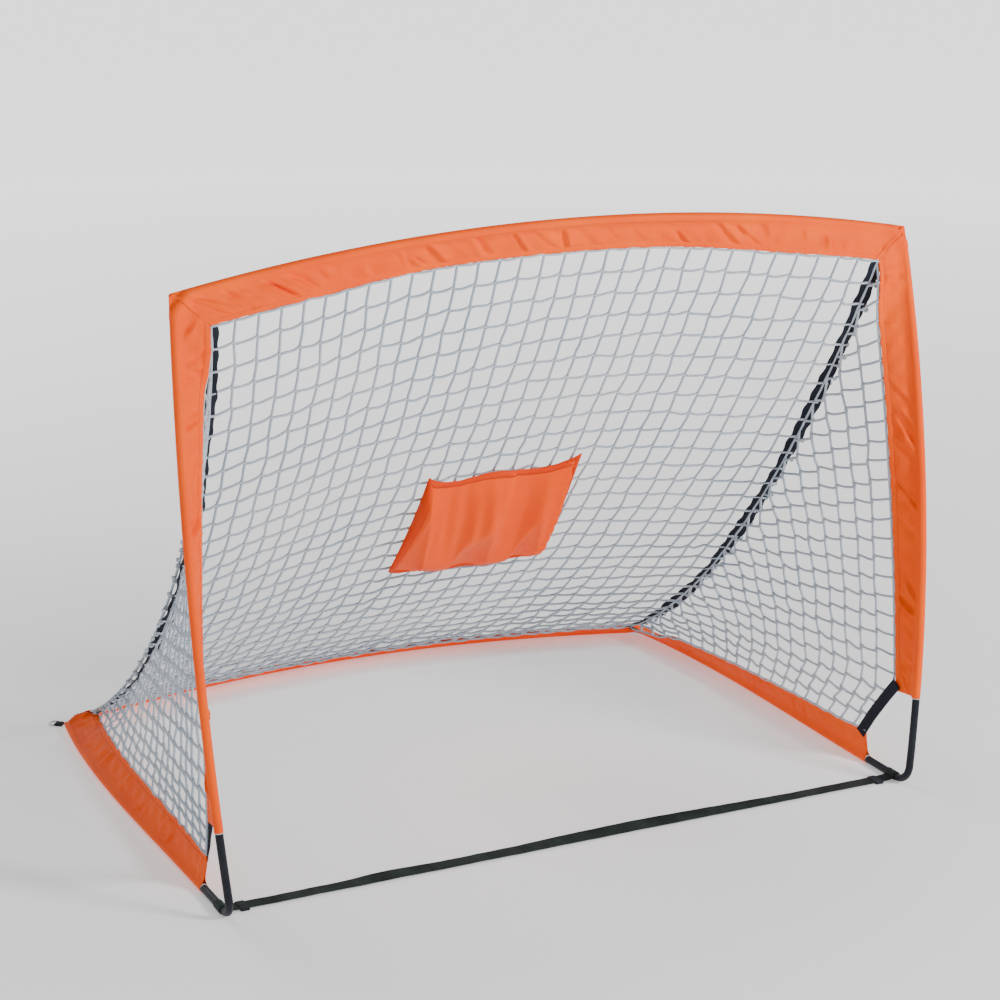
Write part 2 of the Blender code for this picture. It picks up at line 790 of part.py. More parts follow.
def add_sliders():
    """A flat metal keeper round the strap near each end."""
    inner_y = WEBBING_WIDTH / 2 + CLEAR
    outer_y = inner_y + SLIDER_BAR
    inner_z = STRAP_THICKNESS / 2 + CLEAR
    outer_z = inner_z + SLIDER_BAR
    middle = STRAP_LIFT + STRAP_THICKNESS / 2
    loops = [(outer_y, outer_z), (inner_y, inner_z)]
    vertices = []
    for x in (-SLIDER_LENGTH / 2, SLIDER_LENGTH / 2):
        for y, z in loops:
            vertices += [Vector((x, y * a, z * b)) for a, b in ((1, 1), (-1, 1), (-1, -1), (1, -1))]
    faces = [*ring_faces(4, 0, 8), *ring_faces(4, 4, 12), *ring_faces(4, 0, 4), *ring_faces(4, 8, 12)]
    for side, sign in (("left", -1), ("right", 1)):
        slider = mesh_object(f"strap_slider_{side}", vertices, faces, "black_steel", smooth=False)
        slider.location = (sign * (GROUND_HALF_WIDTH - SLIDER_INSET), STRAP_SETBACK, middle)


def anchor_frame(paths):
    """The foot of the right anchor tab and its outward direction."""
    side, rear = paths["side"], paths["rear"]
    forward = (side[1][0] - side[0][0]).normalized()
    sideways = (rear[1][0] - rear[0][0]).normalized()
    inward = (forward + sideways).normalized()
    tip = SLEEVE_RADIUS / math.sin(side[0][1].angle(rear[0][1]) / 2)
    start = rear_corner() - inward * (tip + 4 * CLEAR)
    return start, -inward


def add_anchors(paths):
    """Webbing tabs at the rear corners, folded round the straight bar of a D-shaped ring."""
    hole = RING_WIRE + CLEAR
    outer = hole + TAB_WALL
    start, outward = anchor_frame(paths)
    for side, sign in (("left", -1), ("right", 1)):
        foot = Vector((start.x * sign, start.y, outer))
        away = Vector((outward.x * sign, outward.y, 0))
        axis = Vector((0, 0, 1)).cross(away)
        bar = foot + away * TAB_LENGTH
        turn = math.atan2(away.y, away.x)
        turns = [math.pi * (k / TAB_STEPS - 0.5) for k in range(TAB_STEPS + 1)]
        arc = [(outer * math.cos(a), outer * math.sin(a)) for a in turns]
        outline = [(-TAB_LENGTH, -outer), *arc, (-TAB_LENGTH, outer)]
        tab = extruded(f"anchor_tab_{side}", outline, TAB_WIDTH, "black_webbing")
        tab.location = bar + away * tab.location.x
        tab.rotation_euler.z = turn
        drill(tab, bar, axis, hole, TAB_WIDTH, 2 * TAB_STEPS)
        add_ring(f"anchor_ring_{side}", bar, away, axis)


def add_ring(name, bar, away, axis):
    """A D-shaped ring of round wire whose straight bar lies on its hinge axis."""
    half = TAB_WIDTH / 2 + 3 * RING_WIRE
    points = [axis * (half * share) for share in (-0.5, 0.5, 1)]
    for k in range(RING_STEPS + 1):
        turn = math.pi * k / RING_STEPS
        out = RING_WIRE * 2 + RING_RADIUS * math.sin(turn)
        points.append(away * out + axis * (half * math.cos(turn)))
    points.append(axis * -half)
    count = len(points)
    vertices = []
    for i in range(count):
        along = (points[(i + 1) % count] - points[i - 1]).normalized()
        side = Vector((0, 0, 1)).cross(along)
        for k in range(RING_SIDES):
            turn = math.tau * (k + 0.5) / RING_SIDES
            offset = side * math.cos(turn) + Vector((0, 0, 1)) * math.sin(turn)
            vertices.append(points[i] + offset * RING_WIRE)
    faces = []
    for i in range(count):
        faces += ring_faces(RING_SIDES, i * RING_SIDES, (i + 1) % count * RING_SIDES)
    ring = mesh_object(name, vertices, faces, "zinc_steel")
    ring.data.transform(Matrix.Translation(ring.location))
    ring.location = bar


def stand_on_floor():
    """Put the box of all solids over the origin, with its lowest point on the floor."""
    solids = [o for o in bpy.data.objects if o.type == "MESH" and not o.hide_render]
    bpy.context.view_layer.update()
    corners = [o.matrix_world @ Vector(c) for o in solids for c in o.bound_box]
    ys = [c.y for c in corners]
    shift = Vector((0, -(min(ys) + max(ys)) / 2, 0))
    origin = bpy.data.objects.new("goal_origin", None)
    bpy.context.scene.collection.objects.link(origin)
    for o in list(bpy.data.objects):
        if o is not origin and o.parent is None:
            o.parent = origin
    origin.location = shift
    bpy.context.view_layer.update()


def main():
    for o in list(bpy.data.objects):
        bpy.data.objects.remove(o)
    add_hoop()
    paths = sleeve_paths()
    add_sleeves(paths)
    add_nets(paths)
    add_corner_straps(paths)
    add_ground_strap()
    add_sliders()
    add_anchors(paths)
    stand_on_floor()


main()
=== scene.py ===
"""Looks for the portable soccer goal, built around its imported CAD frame. Metres, +Z up."""

import math
import random

import bpy
import numpy as np
from mathutils import Matrix, Vector


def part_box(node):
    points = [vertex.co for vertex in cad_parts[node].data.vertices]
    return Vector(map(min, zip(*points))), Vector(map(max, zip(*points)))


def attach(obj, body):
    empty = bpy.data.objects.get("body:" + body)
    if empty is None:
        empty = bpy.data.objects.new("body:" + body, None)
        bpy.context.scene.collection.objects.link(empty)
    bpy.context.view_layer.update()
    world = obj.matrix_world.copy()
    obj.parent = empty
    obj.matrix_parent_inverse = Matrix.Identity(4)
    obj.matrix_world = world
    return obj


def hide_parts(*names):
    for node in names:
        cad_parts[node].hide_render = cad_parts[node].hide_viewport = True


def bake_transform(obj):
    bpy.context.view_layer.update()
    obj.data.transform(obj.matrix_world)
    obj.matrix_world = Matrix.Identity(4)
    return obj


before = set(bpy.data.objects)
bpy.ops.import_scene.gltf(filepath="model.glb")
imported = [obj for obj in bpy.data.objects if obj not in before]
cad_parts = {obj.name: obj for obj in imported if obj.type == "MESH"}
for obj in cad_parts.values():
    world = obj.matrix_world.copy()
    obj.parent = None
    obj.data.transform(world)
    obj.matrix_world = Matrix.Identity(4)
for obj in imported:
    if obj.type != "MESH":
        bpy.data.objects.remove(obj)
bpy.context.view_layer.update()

# Driving dimensions of the hoop, as in the CAD model
GROUND_HALF_WIDTH = 0.603
TOP_HALF_WIDTH = 0.6215
HEIGHT = 0.917
TOP_LEAN = 0.120
DEPTH = 0.883
REAR_HALF_WIDTH = 0.580
CROSSBAR_RISE = 0.0595
POST_BOW_OUT = 0.0207
POST_BOW_FORWARD = 0.0207
REAR_BOW = 0.103
SIDE_BOW_HANDLE = 0.017
BEND_TRIM = 0.030
UPRIGHT_ARM = 0.137
GROUND_ARM = 0.118
SIDE_STRAIGHT = 0.020
TUBE_RADIUS = 0.00635
ROD_RADIUS = 0.00475
STRAP_SETBACK = 0.045
STRAP_THICKNESS = 0.0010
CLEAR = 0.0003

AXIS_Z = TUBE_RADIUS + CLEAR + STRAP_THICKNESS
MOUTH_Y = (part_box("ground_strap")[0].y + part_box("ground_strap")[1].y) / 2 - STRAP_SETBACK

# Fabric
BAND_WIDTH = 0.061
RIGHT_POST_RISE = 0.009
SLEEVE_MARGIN = 0.002
BULGE_RADIUS = 0.0069
TENT_ANGLE = math.radians(42)
FLAP_REACH = BAND_WIDTH - BULGE_RADIUS
LAYER_GAP = 0.0005
CLOTH_THICKNESS = 0.00035
HEM = 0.0090
SKIRT = 0.0085
PUFF = 0.0014
HEM_BULK = 0.00045
SEAM_DIP = 0.0003
PUCKER = 0.00035
SLOW_WAVE = 0.0008
SCALLOP = 0.0011
ELBOW_COVER = 0.0028
GROUND_COVER = 0.0002
POST_TWIST = math.radians(80)
POST_TWIST_START = 0.11
CROSSBAR_TILT = math.radians(22)
SIDE_TWIST = math.radians(52)
REAR_TILT = math.radians(25)
CORNER_FLAT = 0.045
CORNER_FADE = 0.150
POST_CORNER_FLAT = 0.010
POST_CORNER_FADE = 0.120
CROSSBAR_CORNER_FADE = 0.45
REAR_LIFT = 0.45
RING_STEP = 0.0035
WEBBING = 0.025
WEBBING_THICKNESS = 0.0013
TAPE_SHARE = 0.86
CORNER_STRAP_SHARE = 0.80
GROUND_STRAP_SHARE = 0.98
CORNER_STRAP_INSET = 0.0045
STRAP_REST_Z = 0.0034
STRAP_ENTRY_Z = 0.0042
STRAP_TILT = math.radians(11)
WEBBING_COLUMNS = 9
RIPPLE = math.sqrt(0.3)

# Net
CELL = 0.0385
BACK_COLUMNS = 31
BACK_ROWS = 29
SIDE_COLUMNS = 20
SIDE_ROWS = 25
TWINE = 0.0022
KNOT = 0.0031
BACK_JOINT = 0.0042
SIDE_JOINT = 0.0070
BACK_BELLY = 0.012
SEAM_TOP_HANDLE = (-0.048, 0.1457, -0.3705)
SEAM_LOW_HANDLE = (-0.0095, -0.302, 0.138)
HOOK_FACE = (0, -0.75, -0.66)

# Camera: measured from the middle of the mouth's ground line
CAMERA_PLACE = (-1.830, -3.377, 1.697)
CAMERA_YAW = math.radians(26.29)
CAMERA_PITCH = math.radians(16.36)
CAMERA_ROLL = math.radians(-0.23)
CAMERA_LENS = 94.8

# Stage: the floor gives off a little light, more of it far away
FLOOR_HALF_SIZE = 45
GLOW_NEAR = 0.34
GLOW_FAR = 1.5


def vec(*xyz):
    return np.array(xyz, float)


def unit(v):
    v = np.asarray(v, float)
    return v / np.linalg.norm(v, axis=-1, keepdims=True)


def eased(x):
    x = np.clip(x, 0, 1)
    return x * x * (3 - 2 * x)


def mirror(points):
    return np.asarray(points) * vec(-1, 1, 1)


# Paths


def cubic(a, p, q, b, count):
    t = np.linspace(0, 1, count + 1)[:, None]
    s = 1 - t
    return a * s**3 + p * 3 * s * s * t + q * 3 * s * t * t + b * t**3


def bowed(a, b, bow, count):
    handle = (a + b) / 2 + bow * 2
    return cubic(a, a + (handle - a) * (2 / 3), b + (handle - b) * (2 / 3), b, count)


def along(points):
    steps = np.linalg.norm(np.diff(points, axis=0), axis=1)
    return np.concatenate([[0], np.cumsum(steps)])


def lookup(x, places, values):
    """Values at x, between values that stand at rising places."""
    return np.stack([np.interp(x, places, values[:, k]) for k in range(3)], -1)


def at(points, distance):
    """Points at these distances along a polyline."""
    return lookup(distance, along(points), points)


def tangents(points):
    return unit(np.gradient(points, axis=0))


GROUND_CORNER = vec(GROUND_HALF_WIDTH, MOUTH_Y, AXIS_Z)
TOP_CORNER = vec(TOP_HALF_WIDTH, MOUTH_Y + TOP_LEAN, AXIS_Z + HEIGHT)
REAR_CORNER = vec(REAR_HALF_WIDTH, MOUTH_Y + DEPTH, AXIS_Z)
FINE = 120


def crossbar_run():
    """Right half of the crossbar, from the top corner to the centre plane."""
    line = bowed(TOP_CORNER, mirror(TOP_CORNER), vec(0, 0, CROSSBAR_RISE), 2 * FINE)
    return line[: FINE + 1]


def rear_run():
    line = bowed(REAR_CORNER, mirror(REAR_CORNER), vec(0, REAR_BOW, 0), 2 * FINE)
    return line[: FINE + 1]


def post_run():
    """Right post, from the top corner to the ground corner."""
    return bowed(GROUND_CORNER, TOP_CORNER, vec(POST_BOW_OUT, -POST_BOW_FORWARD, 0), FINE)[::-1]


def side_run():
    """Right side of the ground frame, from the rear corner to the ground corner."""
    start = GROUND_CORNER + vec(0, GROUND_ARM + SIDE_STRAIGHT, 0)
    third = (REAR_CORNER[1] - start[1]) / 3
    first = start + vec(0, third, 0)
    second = vec(GROUND_HALF_WIDTH + SIDE_BOW_HANDLE, REAR_CORNER[1] - third, AXIS_Z)
    return np.concatenate([GROUND_CORNER[None], cubic(start, first, second, REAR_CORNER, FINE)])[::-1]


def post_flap(share):
    turn = POST_TWIST * np.maximum(0, 1 - share - POST_TWIST_START)
    return np.stack([-np.sin(turn), np.cos(turn), 0 * turn], -1)


def crossbar_flap(share):
    return np.tile(vec(0, math.sin(CROSSBAR_TILT), -math.cos(CROSSBAR_TILT)), (len(share), 1))


def side_flap(share):
    turn = SIDE_TWIST * (1 - share)
    return np.stack([-np.sin(turn), 0 * turn, np.cos(turn)], -1)


def rear_flap(share):
    return np.tile(vec(0, -math.cos(REAR_TILT), math.sin(REAR_TILT)), (len(share), 1))


class Band:
    """Fine stations of one sleeve from its mitred corner, on the right-hand side."""

    def __init__(self, run, neighbour, free, end, lift=0.0, flat=CORNER_FLAT, fade=CORNER_FADE):
        length = along(run)[-1]
        self.count = max(8, int(round(end / RING_STEP)))
        self.s = np.linspace(CLEAR, end, self.count + 1)
        self.point = at(run, self.s)
        self.tangent = unit(at(run, np.minimum(self.s + 0.002, length)) - at(run, self.s - 0.002))
        other = unit(neighbour[4] - neighbour[0])
        first = unit(run[4] - run[0])
        inward = unit(other - first * (other @ first) + vec(0, 0, lift))
        share = eased((self.s - flat) / (fade - flat))[:, None]
        flap = unit(inward * (1 - share) + free(self.s / length) * share)
        flap = unit(flap - self.tangent * np.sum(flap * self.tangent, 1)[:, None])
        self.flap = flap
        self.across = np.cross(self.tangent, flap)
        slope = 1 / math.tan(math.acos(first @ other) / 2)
        self.shear = slope * (1 - eased((self.s - 0.5 * CORNER_FLAT) / (5 * BAND_WIDTH)))
        self.bend_radius = BEND_TRIM * slope

    def off_rod(self, v):
        """Distances of outline places v from the rod's own line, which rounds the corner."""
        x = self.s[:, None] + v[None] * self.shear[:, None]
        cut = self.bend_radius - np.hypot(BEND_TRIM - x, self.bend_radius - v[None])
        return np.where(x < BEND_TRIM, cut, v[None] + 0 * x)

    def place(self, v, w):
        """World points for outline coordinates v towards the flap's edge and w across it."""
        along_v = self.flap[:, None] + self.tangent[:, None] * self.shear[:, None, None]
        return self.point[:, None] + along_v * v[..., None] + self.across[:, None] * w[..., None]

    def edge(self, reach):
        v = np.full((len(self.s), 1), reach)
        return self.place(v, 0 * v)[:, 0]


RUNS = {"crossbar": crossbar_run(), "post": post_run(), "side": side_run(), "rear": rear_run()}
LENGTHS = {k: along(r)[-1] for k, r in RUNS.items()}
ARM_ENDS = {"right": UPRIGHT_ARM + RIGHT_POST_RISE, "left": UPRIGHT_ARM}
BANDS = {
    "crossbar": Band(
        RUNS["crossbar"], RUNS["post"], crossbar_flap, LENGTHS["crossbar"], fade=CROSSBAR_CORNER_FADE
    ),
    "side": Band(RUNS["side"], RUNS["rear"], side_flap, LENGTHS["side"] - GROUND_ARM - CLEAR, REAR_LIFT),
    "rear": Band(RUNS["rear"], RUNS["side"], rear_flap, LENGTHS["rear"], REAR_LIFT),
}
for side_name, arm_end in ARM_ENDS.items():
    stop = LENGTHS["post"] - arm_end - SLEEVE_MARGIN
    BANDS[f"post_{side_name}"] = Band(
        RUNS["post"], RUNS["crossbar"], post_flap, stop, flat=POST_CORNER_FLAT, fade=POST_CORNER_FADE
    )


# Meshes


def mesh_piece(name, vertices, faces, slot, uvs=None):
    mesh = bpy.data.meshes.new(name)
    mesh.from_pydata(np.asarray(vertices, float).tolist(), [], [tuple(int(i) for i in f) for f in faces])
    if uvs is not None:
        layer = mesh.uv_layers.new(name="UVMap")
        corners = np.zeros(len(mesh.loops), np.int32)
        mesh.loops.foreach_get("vertex_index", corners)
        layer.data.foreach_set("uv", np.asarray(uvs, np.float32)[corners].ravel())
    mesh.shade_smooth()
    piece = bpy.data.objects.new(name, mesh)
    bpy.context.scene.collection.objects.link(piece)
    return piece


def grid_faces(rows, columns, closed=False):
    """Quads of a grid of vertices, whose rows may close on themselves."""
    i, j = np.meshgrid(np.arange(rows - 1), np.arange(columns - (0 if closed else 1)), indexing="ij")
    k = (j + 1) % columns
    quads = [i * columns + j, i * columns + k, (i + 1) * columns + k, (i + 1) * columns + j]
    return np.stack(quads, -1).reshape(-1, 4)


def grid_uvs(points):
    """Distances along and across a grid, in metres."""
    run = np.concatenate([[0], np.cumsum(np.linalg.norm(np.diff(points, axis=0), axis=-1).mean(1))])
    wide = np.concatenate([[0], np.cumsum(np.linalg.norm(np.diff(points, axis=1), axis=-1).mean(0))])
    u, v = np.meshgrid(run, wide, indexing="ij")
    return np.stack([u, v], -1).reshape(-1, 2)


def sheet_piece(name, points, slot, thickness):
    """A sheet through a grid of points, with the cloth's thickness about its middle."""
    rows, columns = points.shape[:2]
    piece = mesh_piece(name, points.reshape(-1, 3), grid_faces(rows, columns), slot, grid_uvs(points))
    thicken(piece, thickness)
    return piece


def sided(points, side):
    """Points made for the right side, on the side that is asked for."""
    return points if side == "right" else mirror(points)


def paint(piece, material):
    piece.data.materials.clear()
    piece.data.materials.append(material)


def thicken(piece, thickness):
    solid = piece.modifiers.new("thickness", "SOLIDIFY")
    solid.thickness = thickness
    solid.offset = 0
    apply_modifiers(piece)


def apply_modifiers(piece):
    graph = bpy.context.evaluated_depsgraph_get()
    made = bpy.data.meshes.new_from_object(piece.evaluated_get(graph))
    piece.modifiers.clear()
    piece.data = made


def tube_parts(path, radius, sides, closed_ends=True, start=0):
    """Vertices, faces and UVs of a round tube along a path, numbered from start."""
    path = np.asarray(path, float)
    radius = np.broadcast_to(radius, len(path))
    tangent = tangents(path)
    across = np.cross(tangent[0], vec(0.31, 0.17, 0.94))
    rings = []
    for t in tangent:
        across = unit(across - t * (across @ t))
        rings.append((across, np.cross(t, across)))
    a, b = np.array([r[0] for r in rings]), np.array([r[1] for r in rings])
    turn = np.linspace(0, math.tau, sides, endpoint=False)
    ring = a[:, None] * np.cos(turn)[None, :, None] + b[:, None] * np.sin(turn)[None, :, None]
    points = path[:, None] + ring * radius[:, None, None]
    faces = (grid_faces(len(path), sides, closed=True) + start).tolist()
    if closed_ends:
        faces.append([start + k for k in reversed(range(sides))])
        faces.append([start + (len(path) - 1) * sides + k for k in range(sides)])
    run = along(path)
    uv = np.stack(np.meshgrid(run, turn / math.tau, indexing="ij"), -1)
    return points.reshape(-1, 3), faces, uv.reshape(-1, 2)


def joined_tubes(name, tubes, slot, sides=6):
    """Many tubes, each a path and a radius, as one piece."""
    vertices, faces, uvs, count = [], [], [], 0
    for path, radius in tubes:
        v, f, uv = tube_parts(path, radius, sides, start=count)
        vertices.append(v)
        faces += f
        uvs.append(uv)
        count += len(v)
    return mesh_piece(name, np.concatenate(vertices), faces, slot, np.concatenate(uvs))


# Sleeves


def outline():
    """Distances towards the flap's edge of the points across one layer of a sleeve."""
    turn = np.linspace(math.pi, TENT_ANGLE, 11)
    bulge = BULGE_RADIUS * np.cos(turn)
    stitch = FLAP_REACH - HEM
    flat = [
        np.linspace(bulge[-1], 0.016, 7)[1:],
        np.linspace(0.016, stitch - 0.0025, 14)[1:],
        np.linspace(stitch - 0.0025, stitch + 0.0025, 7)[1:],
        np.linspace(stitch + 0.0025, FLAP_REACH, 5)[1:],
    ]
    return np.concatenate([bulge, *flat])


def half_thickness(off, radius):
    """Half the sleeve's thickness at distances off the rod's line, positive towards the flap."""
    tent = radius * math.cos(TENT_ANGLE)
    round_part = np.sqrt(np.clip(radius**2 - off**2, 0, None))
    fall = np.clip(off - tent, 0, None) / SKIRT
    shoulder = radius * math.sin(TENT_ANGLE) - LAYER_GAP
    skirt = LAYER_GAP + shoulder * np.exp(-fall - 0.35 * fall**2)
    return np.where(off < tent, round_part, skirt)


def fold_field(s, v, folds):
    """Height of diagonal creases at distances s along a sleeve and v towards its edge."""
    height = np.zeros(np.broadcast(s, v).shape)
    for place, lean, low, high, width, tall in folds:
        line = place + lean * (v - FLAP_REACH / 2)
        off = (s - line) / width
        window = eased((v - low) / 0.012) * eased((high - v) / 0.014)
        height += tall * window * np.exp(-0.5 * off * off) * np.tanh(1.6 * off + 0.5)
    return height


def random_folds(draw, length, per_metre, lean, tall):
    """Creases spread along a sleeve: place, lean, first and last v, width and height."""
    folds = []
    for _ in range(int(per_metre * length)):
        folds.append((
            draw.uniform(0.01, length),
            draw.gauss(lean, 0.35),
            draw.choice([0.004, 0.008, 0.020]),
            draw.choice([0.036, FLAP_REACH - 0.004, FLAP_REACH - 0.002]),
            draw.uniform(0.004, 0.0095),
            draw.choice([-1, 1]) * draw.uniform(0.35, 1.0) * tall,
        ))
    return folds


def crease_heights(draw, band, v, per_metre, lean, tall):
    """Height of a sleeve's creases and slow waves, which fade out at its corner and its hems."""
    s = band.s[:, None]
    folds = random_folds(draw, band.s[-1], per_metre, lean, tall)
    near = random_folds(draw, 0.10, 0.9 * per_metre, lean, 0.8 * tall)
    small = random_folds(draw, band.s[-1], 2.0 * per_metre, lean, 0.16 * tall)
    shape = fold_field(s, v[None], folds + near + small)
    edge = eased((v - 0.012) / 0.03)[None]
    waves = [(draw.uniform(0.08, 0.25), draw.uniform(0, 6.3), draw.uniform(0.3, 1)) for _ in range(4)]
    for period, phase, share in waves:
        shape = shape + SLOW_WAVE * share * edge * np.sin(math.tau * s / period + phase)
    calm = 1 - 0.85 * eased((v - FLAP_REACH + HEM + 0.006) / 0.010)
    return shape * eased(band.s / 0.012)[:, None] * calm[None]


def sleeve_points(band, seed, per_metre, lean, tall, free_end, cover):
    """Grid of points of a sleeve: one strip, from one hem round the rod to the other hem."""
    v = outline()
    s = band.s[:, None]
    shape = crease_heights(random.Random(seed), band, v, per_metre, lean, tall)
    half = half_thickness(band.off_rod(v), BULGE_RADIUS + cover * (1 - eased((s - 0.012) / 0.030)))
    closing = eased((band.s[-1] - s) / 0.012) if free_end else 1.0
    puff = PUFF * eased((v - 0.014) / 0.012) * eased((FLAP_REACH - HEM - v) / 0.012)
    puff = puff[None] * (1 + 0.6 * np.sin(math.tau * s / 0.043 + 2)) * eased(s / 0.03) * closing
    pucker = np.sin(math.tau * s / 0.0083) * 0.6 + np.sin(math.tau * s / 0.0131 + 1.3)
    seam = np.exp(-(((v - FLAP_REACH + HEM) / 0.0010) ** 2))[None]
    hem = eased((v - FLAP_REACH + HEM) / 0.0015)[None]
    thick = half + puff + HEM_BULK * hem - SEAM_DIP * seam * (1 + 0.5 * pucker)
    thick = np.where(v[None] <= -BULGE_RADIUS + 1e-6, 0.0, np.maximum(thick, CLEAR))
    shape = shape + PUCKER * hem * pucker
    tie = np.abs(np.sin(math.pi * s / CELL)) ** 0.6
    reach = v[None] - SCALLOP * tie * eased((v - FLAP_REACH + 0.012) / 0.012)[None]
    front = band.place(reach, shape + thick)
    back = band.place(reach[:, 1:], (shape - thick)[:, 1:])
    return np.concatenate([front[:, ::-1], back], axis=1)


SLEEVES = {
    # kind: seed, creases per metre, their lean on the right and on the left, their height
    "crossbar": (11, 27, -0.9, 0.9, 0.0075),
    "post": (23, 24, -1.2, -1.2, 0.0068),
    "side": (35, 18, 0.8, 0.8, 0.0034),
    "rear": (47, 18, 0.6, -0.6, 0.0030),
}
HEM_COLUMN = 8


def hem_stitches(points, count_front):
    """Stitches that follow the cloth's own surface near one hem of a sleeve."""
    line = points[:, count_front]
    inner = points[:, count_front + 1]
    normal = unit(np.cross(np.gradient(line, axis=0), inner - line))
    d = along(line)
    tubes = []
    for place in np.arange(0.004, d[-1] - 0.006, 0.0042):
        spots = np.linspace(place, place + 0.0033, 4)
        path = lookup(spots, d, line)
        up = lookup(spots, d, normal)
        rise = (0.00012 + 0.00028 * np.sin(np.linspace(0.2, math.pi - 0.2, 4)))[:, None]
        tubes.append((path + up * rise, 0.00032))
    return tubes


def build_sleeve(name, body, points):
    """One fabric sleeve with its hem stitches, held out by the named rods."""
    piece = sheet_piece(f"{name}_cloth", points, "orange_fabric", CLOTH_THICKNESS)
    thread = hem_stitches(points, HEM_COLUMN) + hem_stitches(points[:, ::-1], HEM_COLUMN)
    stitches = joined_tubes(f"{name}_stitches", thread, "orange_fabric", sides=4)
    for part, material in ((piece, ORANGE), (stitches, THREAD)):
        paint(part, material)
        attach(part, body)
    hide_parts(name)
    return piece


def corner_fold(name, body, first, second):
    """The fold of cloth sewn over the mitre where two sleeves meet."""
    middle = first.shape[1] // 2
    columns = middle - 2
    out = unit(first[0, columns // 2] - first[0, -1 - columns // 2])
    for face, sign in (("front", 1), ("back", -1)):
        a, b = (first, second) if sign > 0 else (first[:, ::-1], second[:, ::-1])
        rise = np.linspace(0.0010, 0.0032, columns)[:, None] * out * sign
        hem_line = a[0, :columns] * 0.5 + b[0, :columns] * 0.5
        near_a = a[2, :columns] + 0.2 * rise
        near_b = b[1, :columns] + 0.2 * rise
        ridge = hem_line + rise
        strip = np.stack([near_a, (near_a + ridge) / 2, ridge, (near_b + hem_line) / 2, near_b])
        piece = sheet_piece(f"{name}_{face}", strip, "orange_fabric", CLOTH_THICKNESS)
        paint(piece, ORANGE)
        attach(piece, body)


def build_sleeves():
    grids = {}
    for kind, (seed, per_metre, lean, left_lean, tall) in SLEEVES.items():
        body = "mouth_frame" if kind in ("crossbar", "post") else "ground_frame"
        free_end = kind in ("post", "side")
        cover = ELBOW_COVER if body == "mouth_frame" else GROUND_COVER
        right_band = BANDS.get(kind) or BANDS[f"{kind}_right"]
        left_band = BANDS.get(kind) or BANDS[f"{kind}_left"]
        right = sleeve_points(right_band, seed, per_metre, lean, tall, free_end, cover)
        left = mirror(sleeve_points(left_band, seed + 5, per_metre, left_lean, tall, free_end, cover))
        grids[kind] = {"right": right.copy(), "left": left.copy()}
        if free_end:
            build_sleeve(f"{kind}_sleeve_right", body, right)
            build_sleeve(f"{kind}_sleeve_left", body, left[::-1])
        else:
            soften_middle(right, left)
            whole = np.concatenate([right, left[::-1][1:]])
            build_sleeve(f"{kind}_sleeve", body, whole)
    for side in ("right", "left"):
        corner_fold(f"top_fold_{side}", "mouth_frame", grids["crossbar"][side], grids["post"][side])


def soften_middle(right, left, reach=24):
    """Bring the ends of two half sleeves together at the centre plane."""
    gap = left[-1] - right[-1]
    fade = eased(np.arange(reach) / (reach - 1))[:, None, None]
    right[-reach:] += gap * 0.5 * fade
    left[-reach:] -= gap * 0.5 * fade


# Nets


def seam_curve(count):
    """The right seam, sagging from the top inner corner to the rear inner corner."""
    top = BANDS["crossbar"].edge(FLAP_REACH)[0]
    low = BANDS["side"].edge(FLAP_REACH)[0]
    return cubic(top, top + SEAM_TOP_HANDLE, low + SEAM_LOW_HANDLE, low, count)


SEAM = seam_curve(240)


def bow_over(edge, u):
    """How far a symmetric edge stands off the line between its ends, at shares u of its half width."""
    x = edge[::-1, 0] / edge[0, 0]
    off = edge[::-1] - edge[0]
    rise = np.stack([np.interp(np.abs(u), x, off[:, k]) for k in (1, 2)], -1)
    return np.concatenate([0 * rise[..., :1], rise], -1)


TOP_EDGE = BANDS["crossbar"].edge(FLAP_REACH)
LOW_EDGE = BANDS["rear"].edge(FLAP_REACH)


def back_surface(u, v):
    """Points of the back net, at shares u from left to right and v from top to bottom."""
    u, v = np.broadcast_arrays(np.asarray(u, float), np.asarray(v, float))
    k = np.clip(v, 0, 1) * (len(SEAM) - 1)
    seam = lookup(k, np.arange(len(SEAM)), SEAM)
    base = seam * np.stack([u, 0 * u + 1, 0 * u + 1], -1)
    belly = BACK_BELLY * np.sin(math.pi * v) * (1 - u * u)
    rest = bow_over(TOP_EDGE, u) * (1 - v)[..., None] + bow_over(LOW_EDGE, u) * v[..., None]
    return base + rest + belly[..., None] * vec(0, 0.6, 0.8)


def side_surface(u, v):
    """Points of the right side net, at shares u from the post to the seam and v from top to bottom."""
    u, v = np.broadcast_arrays(np.asarray(u, float), np.asarray(v, float))
    base = BANDS["side"].edge(FLAP_REACH)[::-1]
    front = np.concatenate([BANDS["post_right"].edge(FLAP_REACH), base[:1]])
    d = along(front)
    start = lookup(v * d[-1], d, front)
    k = v * (len(SEAM) - 1)
    stop = lookup(k, np.arange(len(SEAM)), SEAM)
    e = along(base)
    low = lookup(u * e[-1], e, base)
    chord = base[0] + (base[-1] - base[0]) * u[..., None]
    sag = (low - chord) * (v**3)[..., None]
    return start * (1 - u)[..., None] + stop * u[..., None] + sag


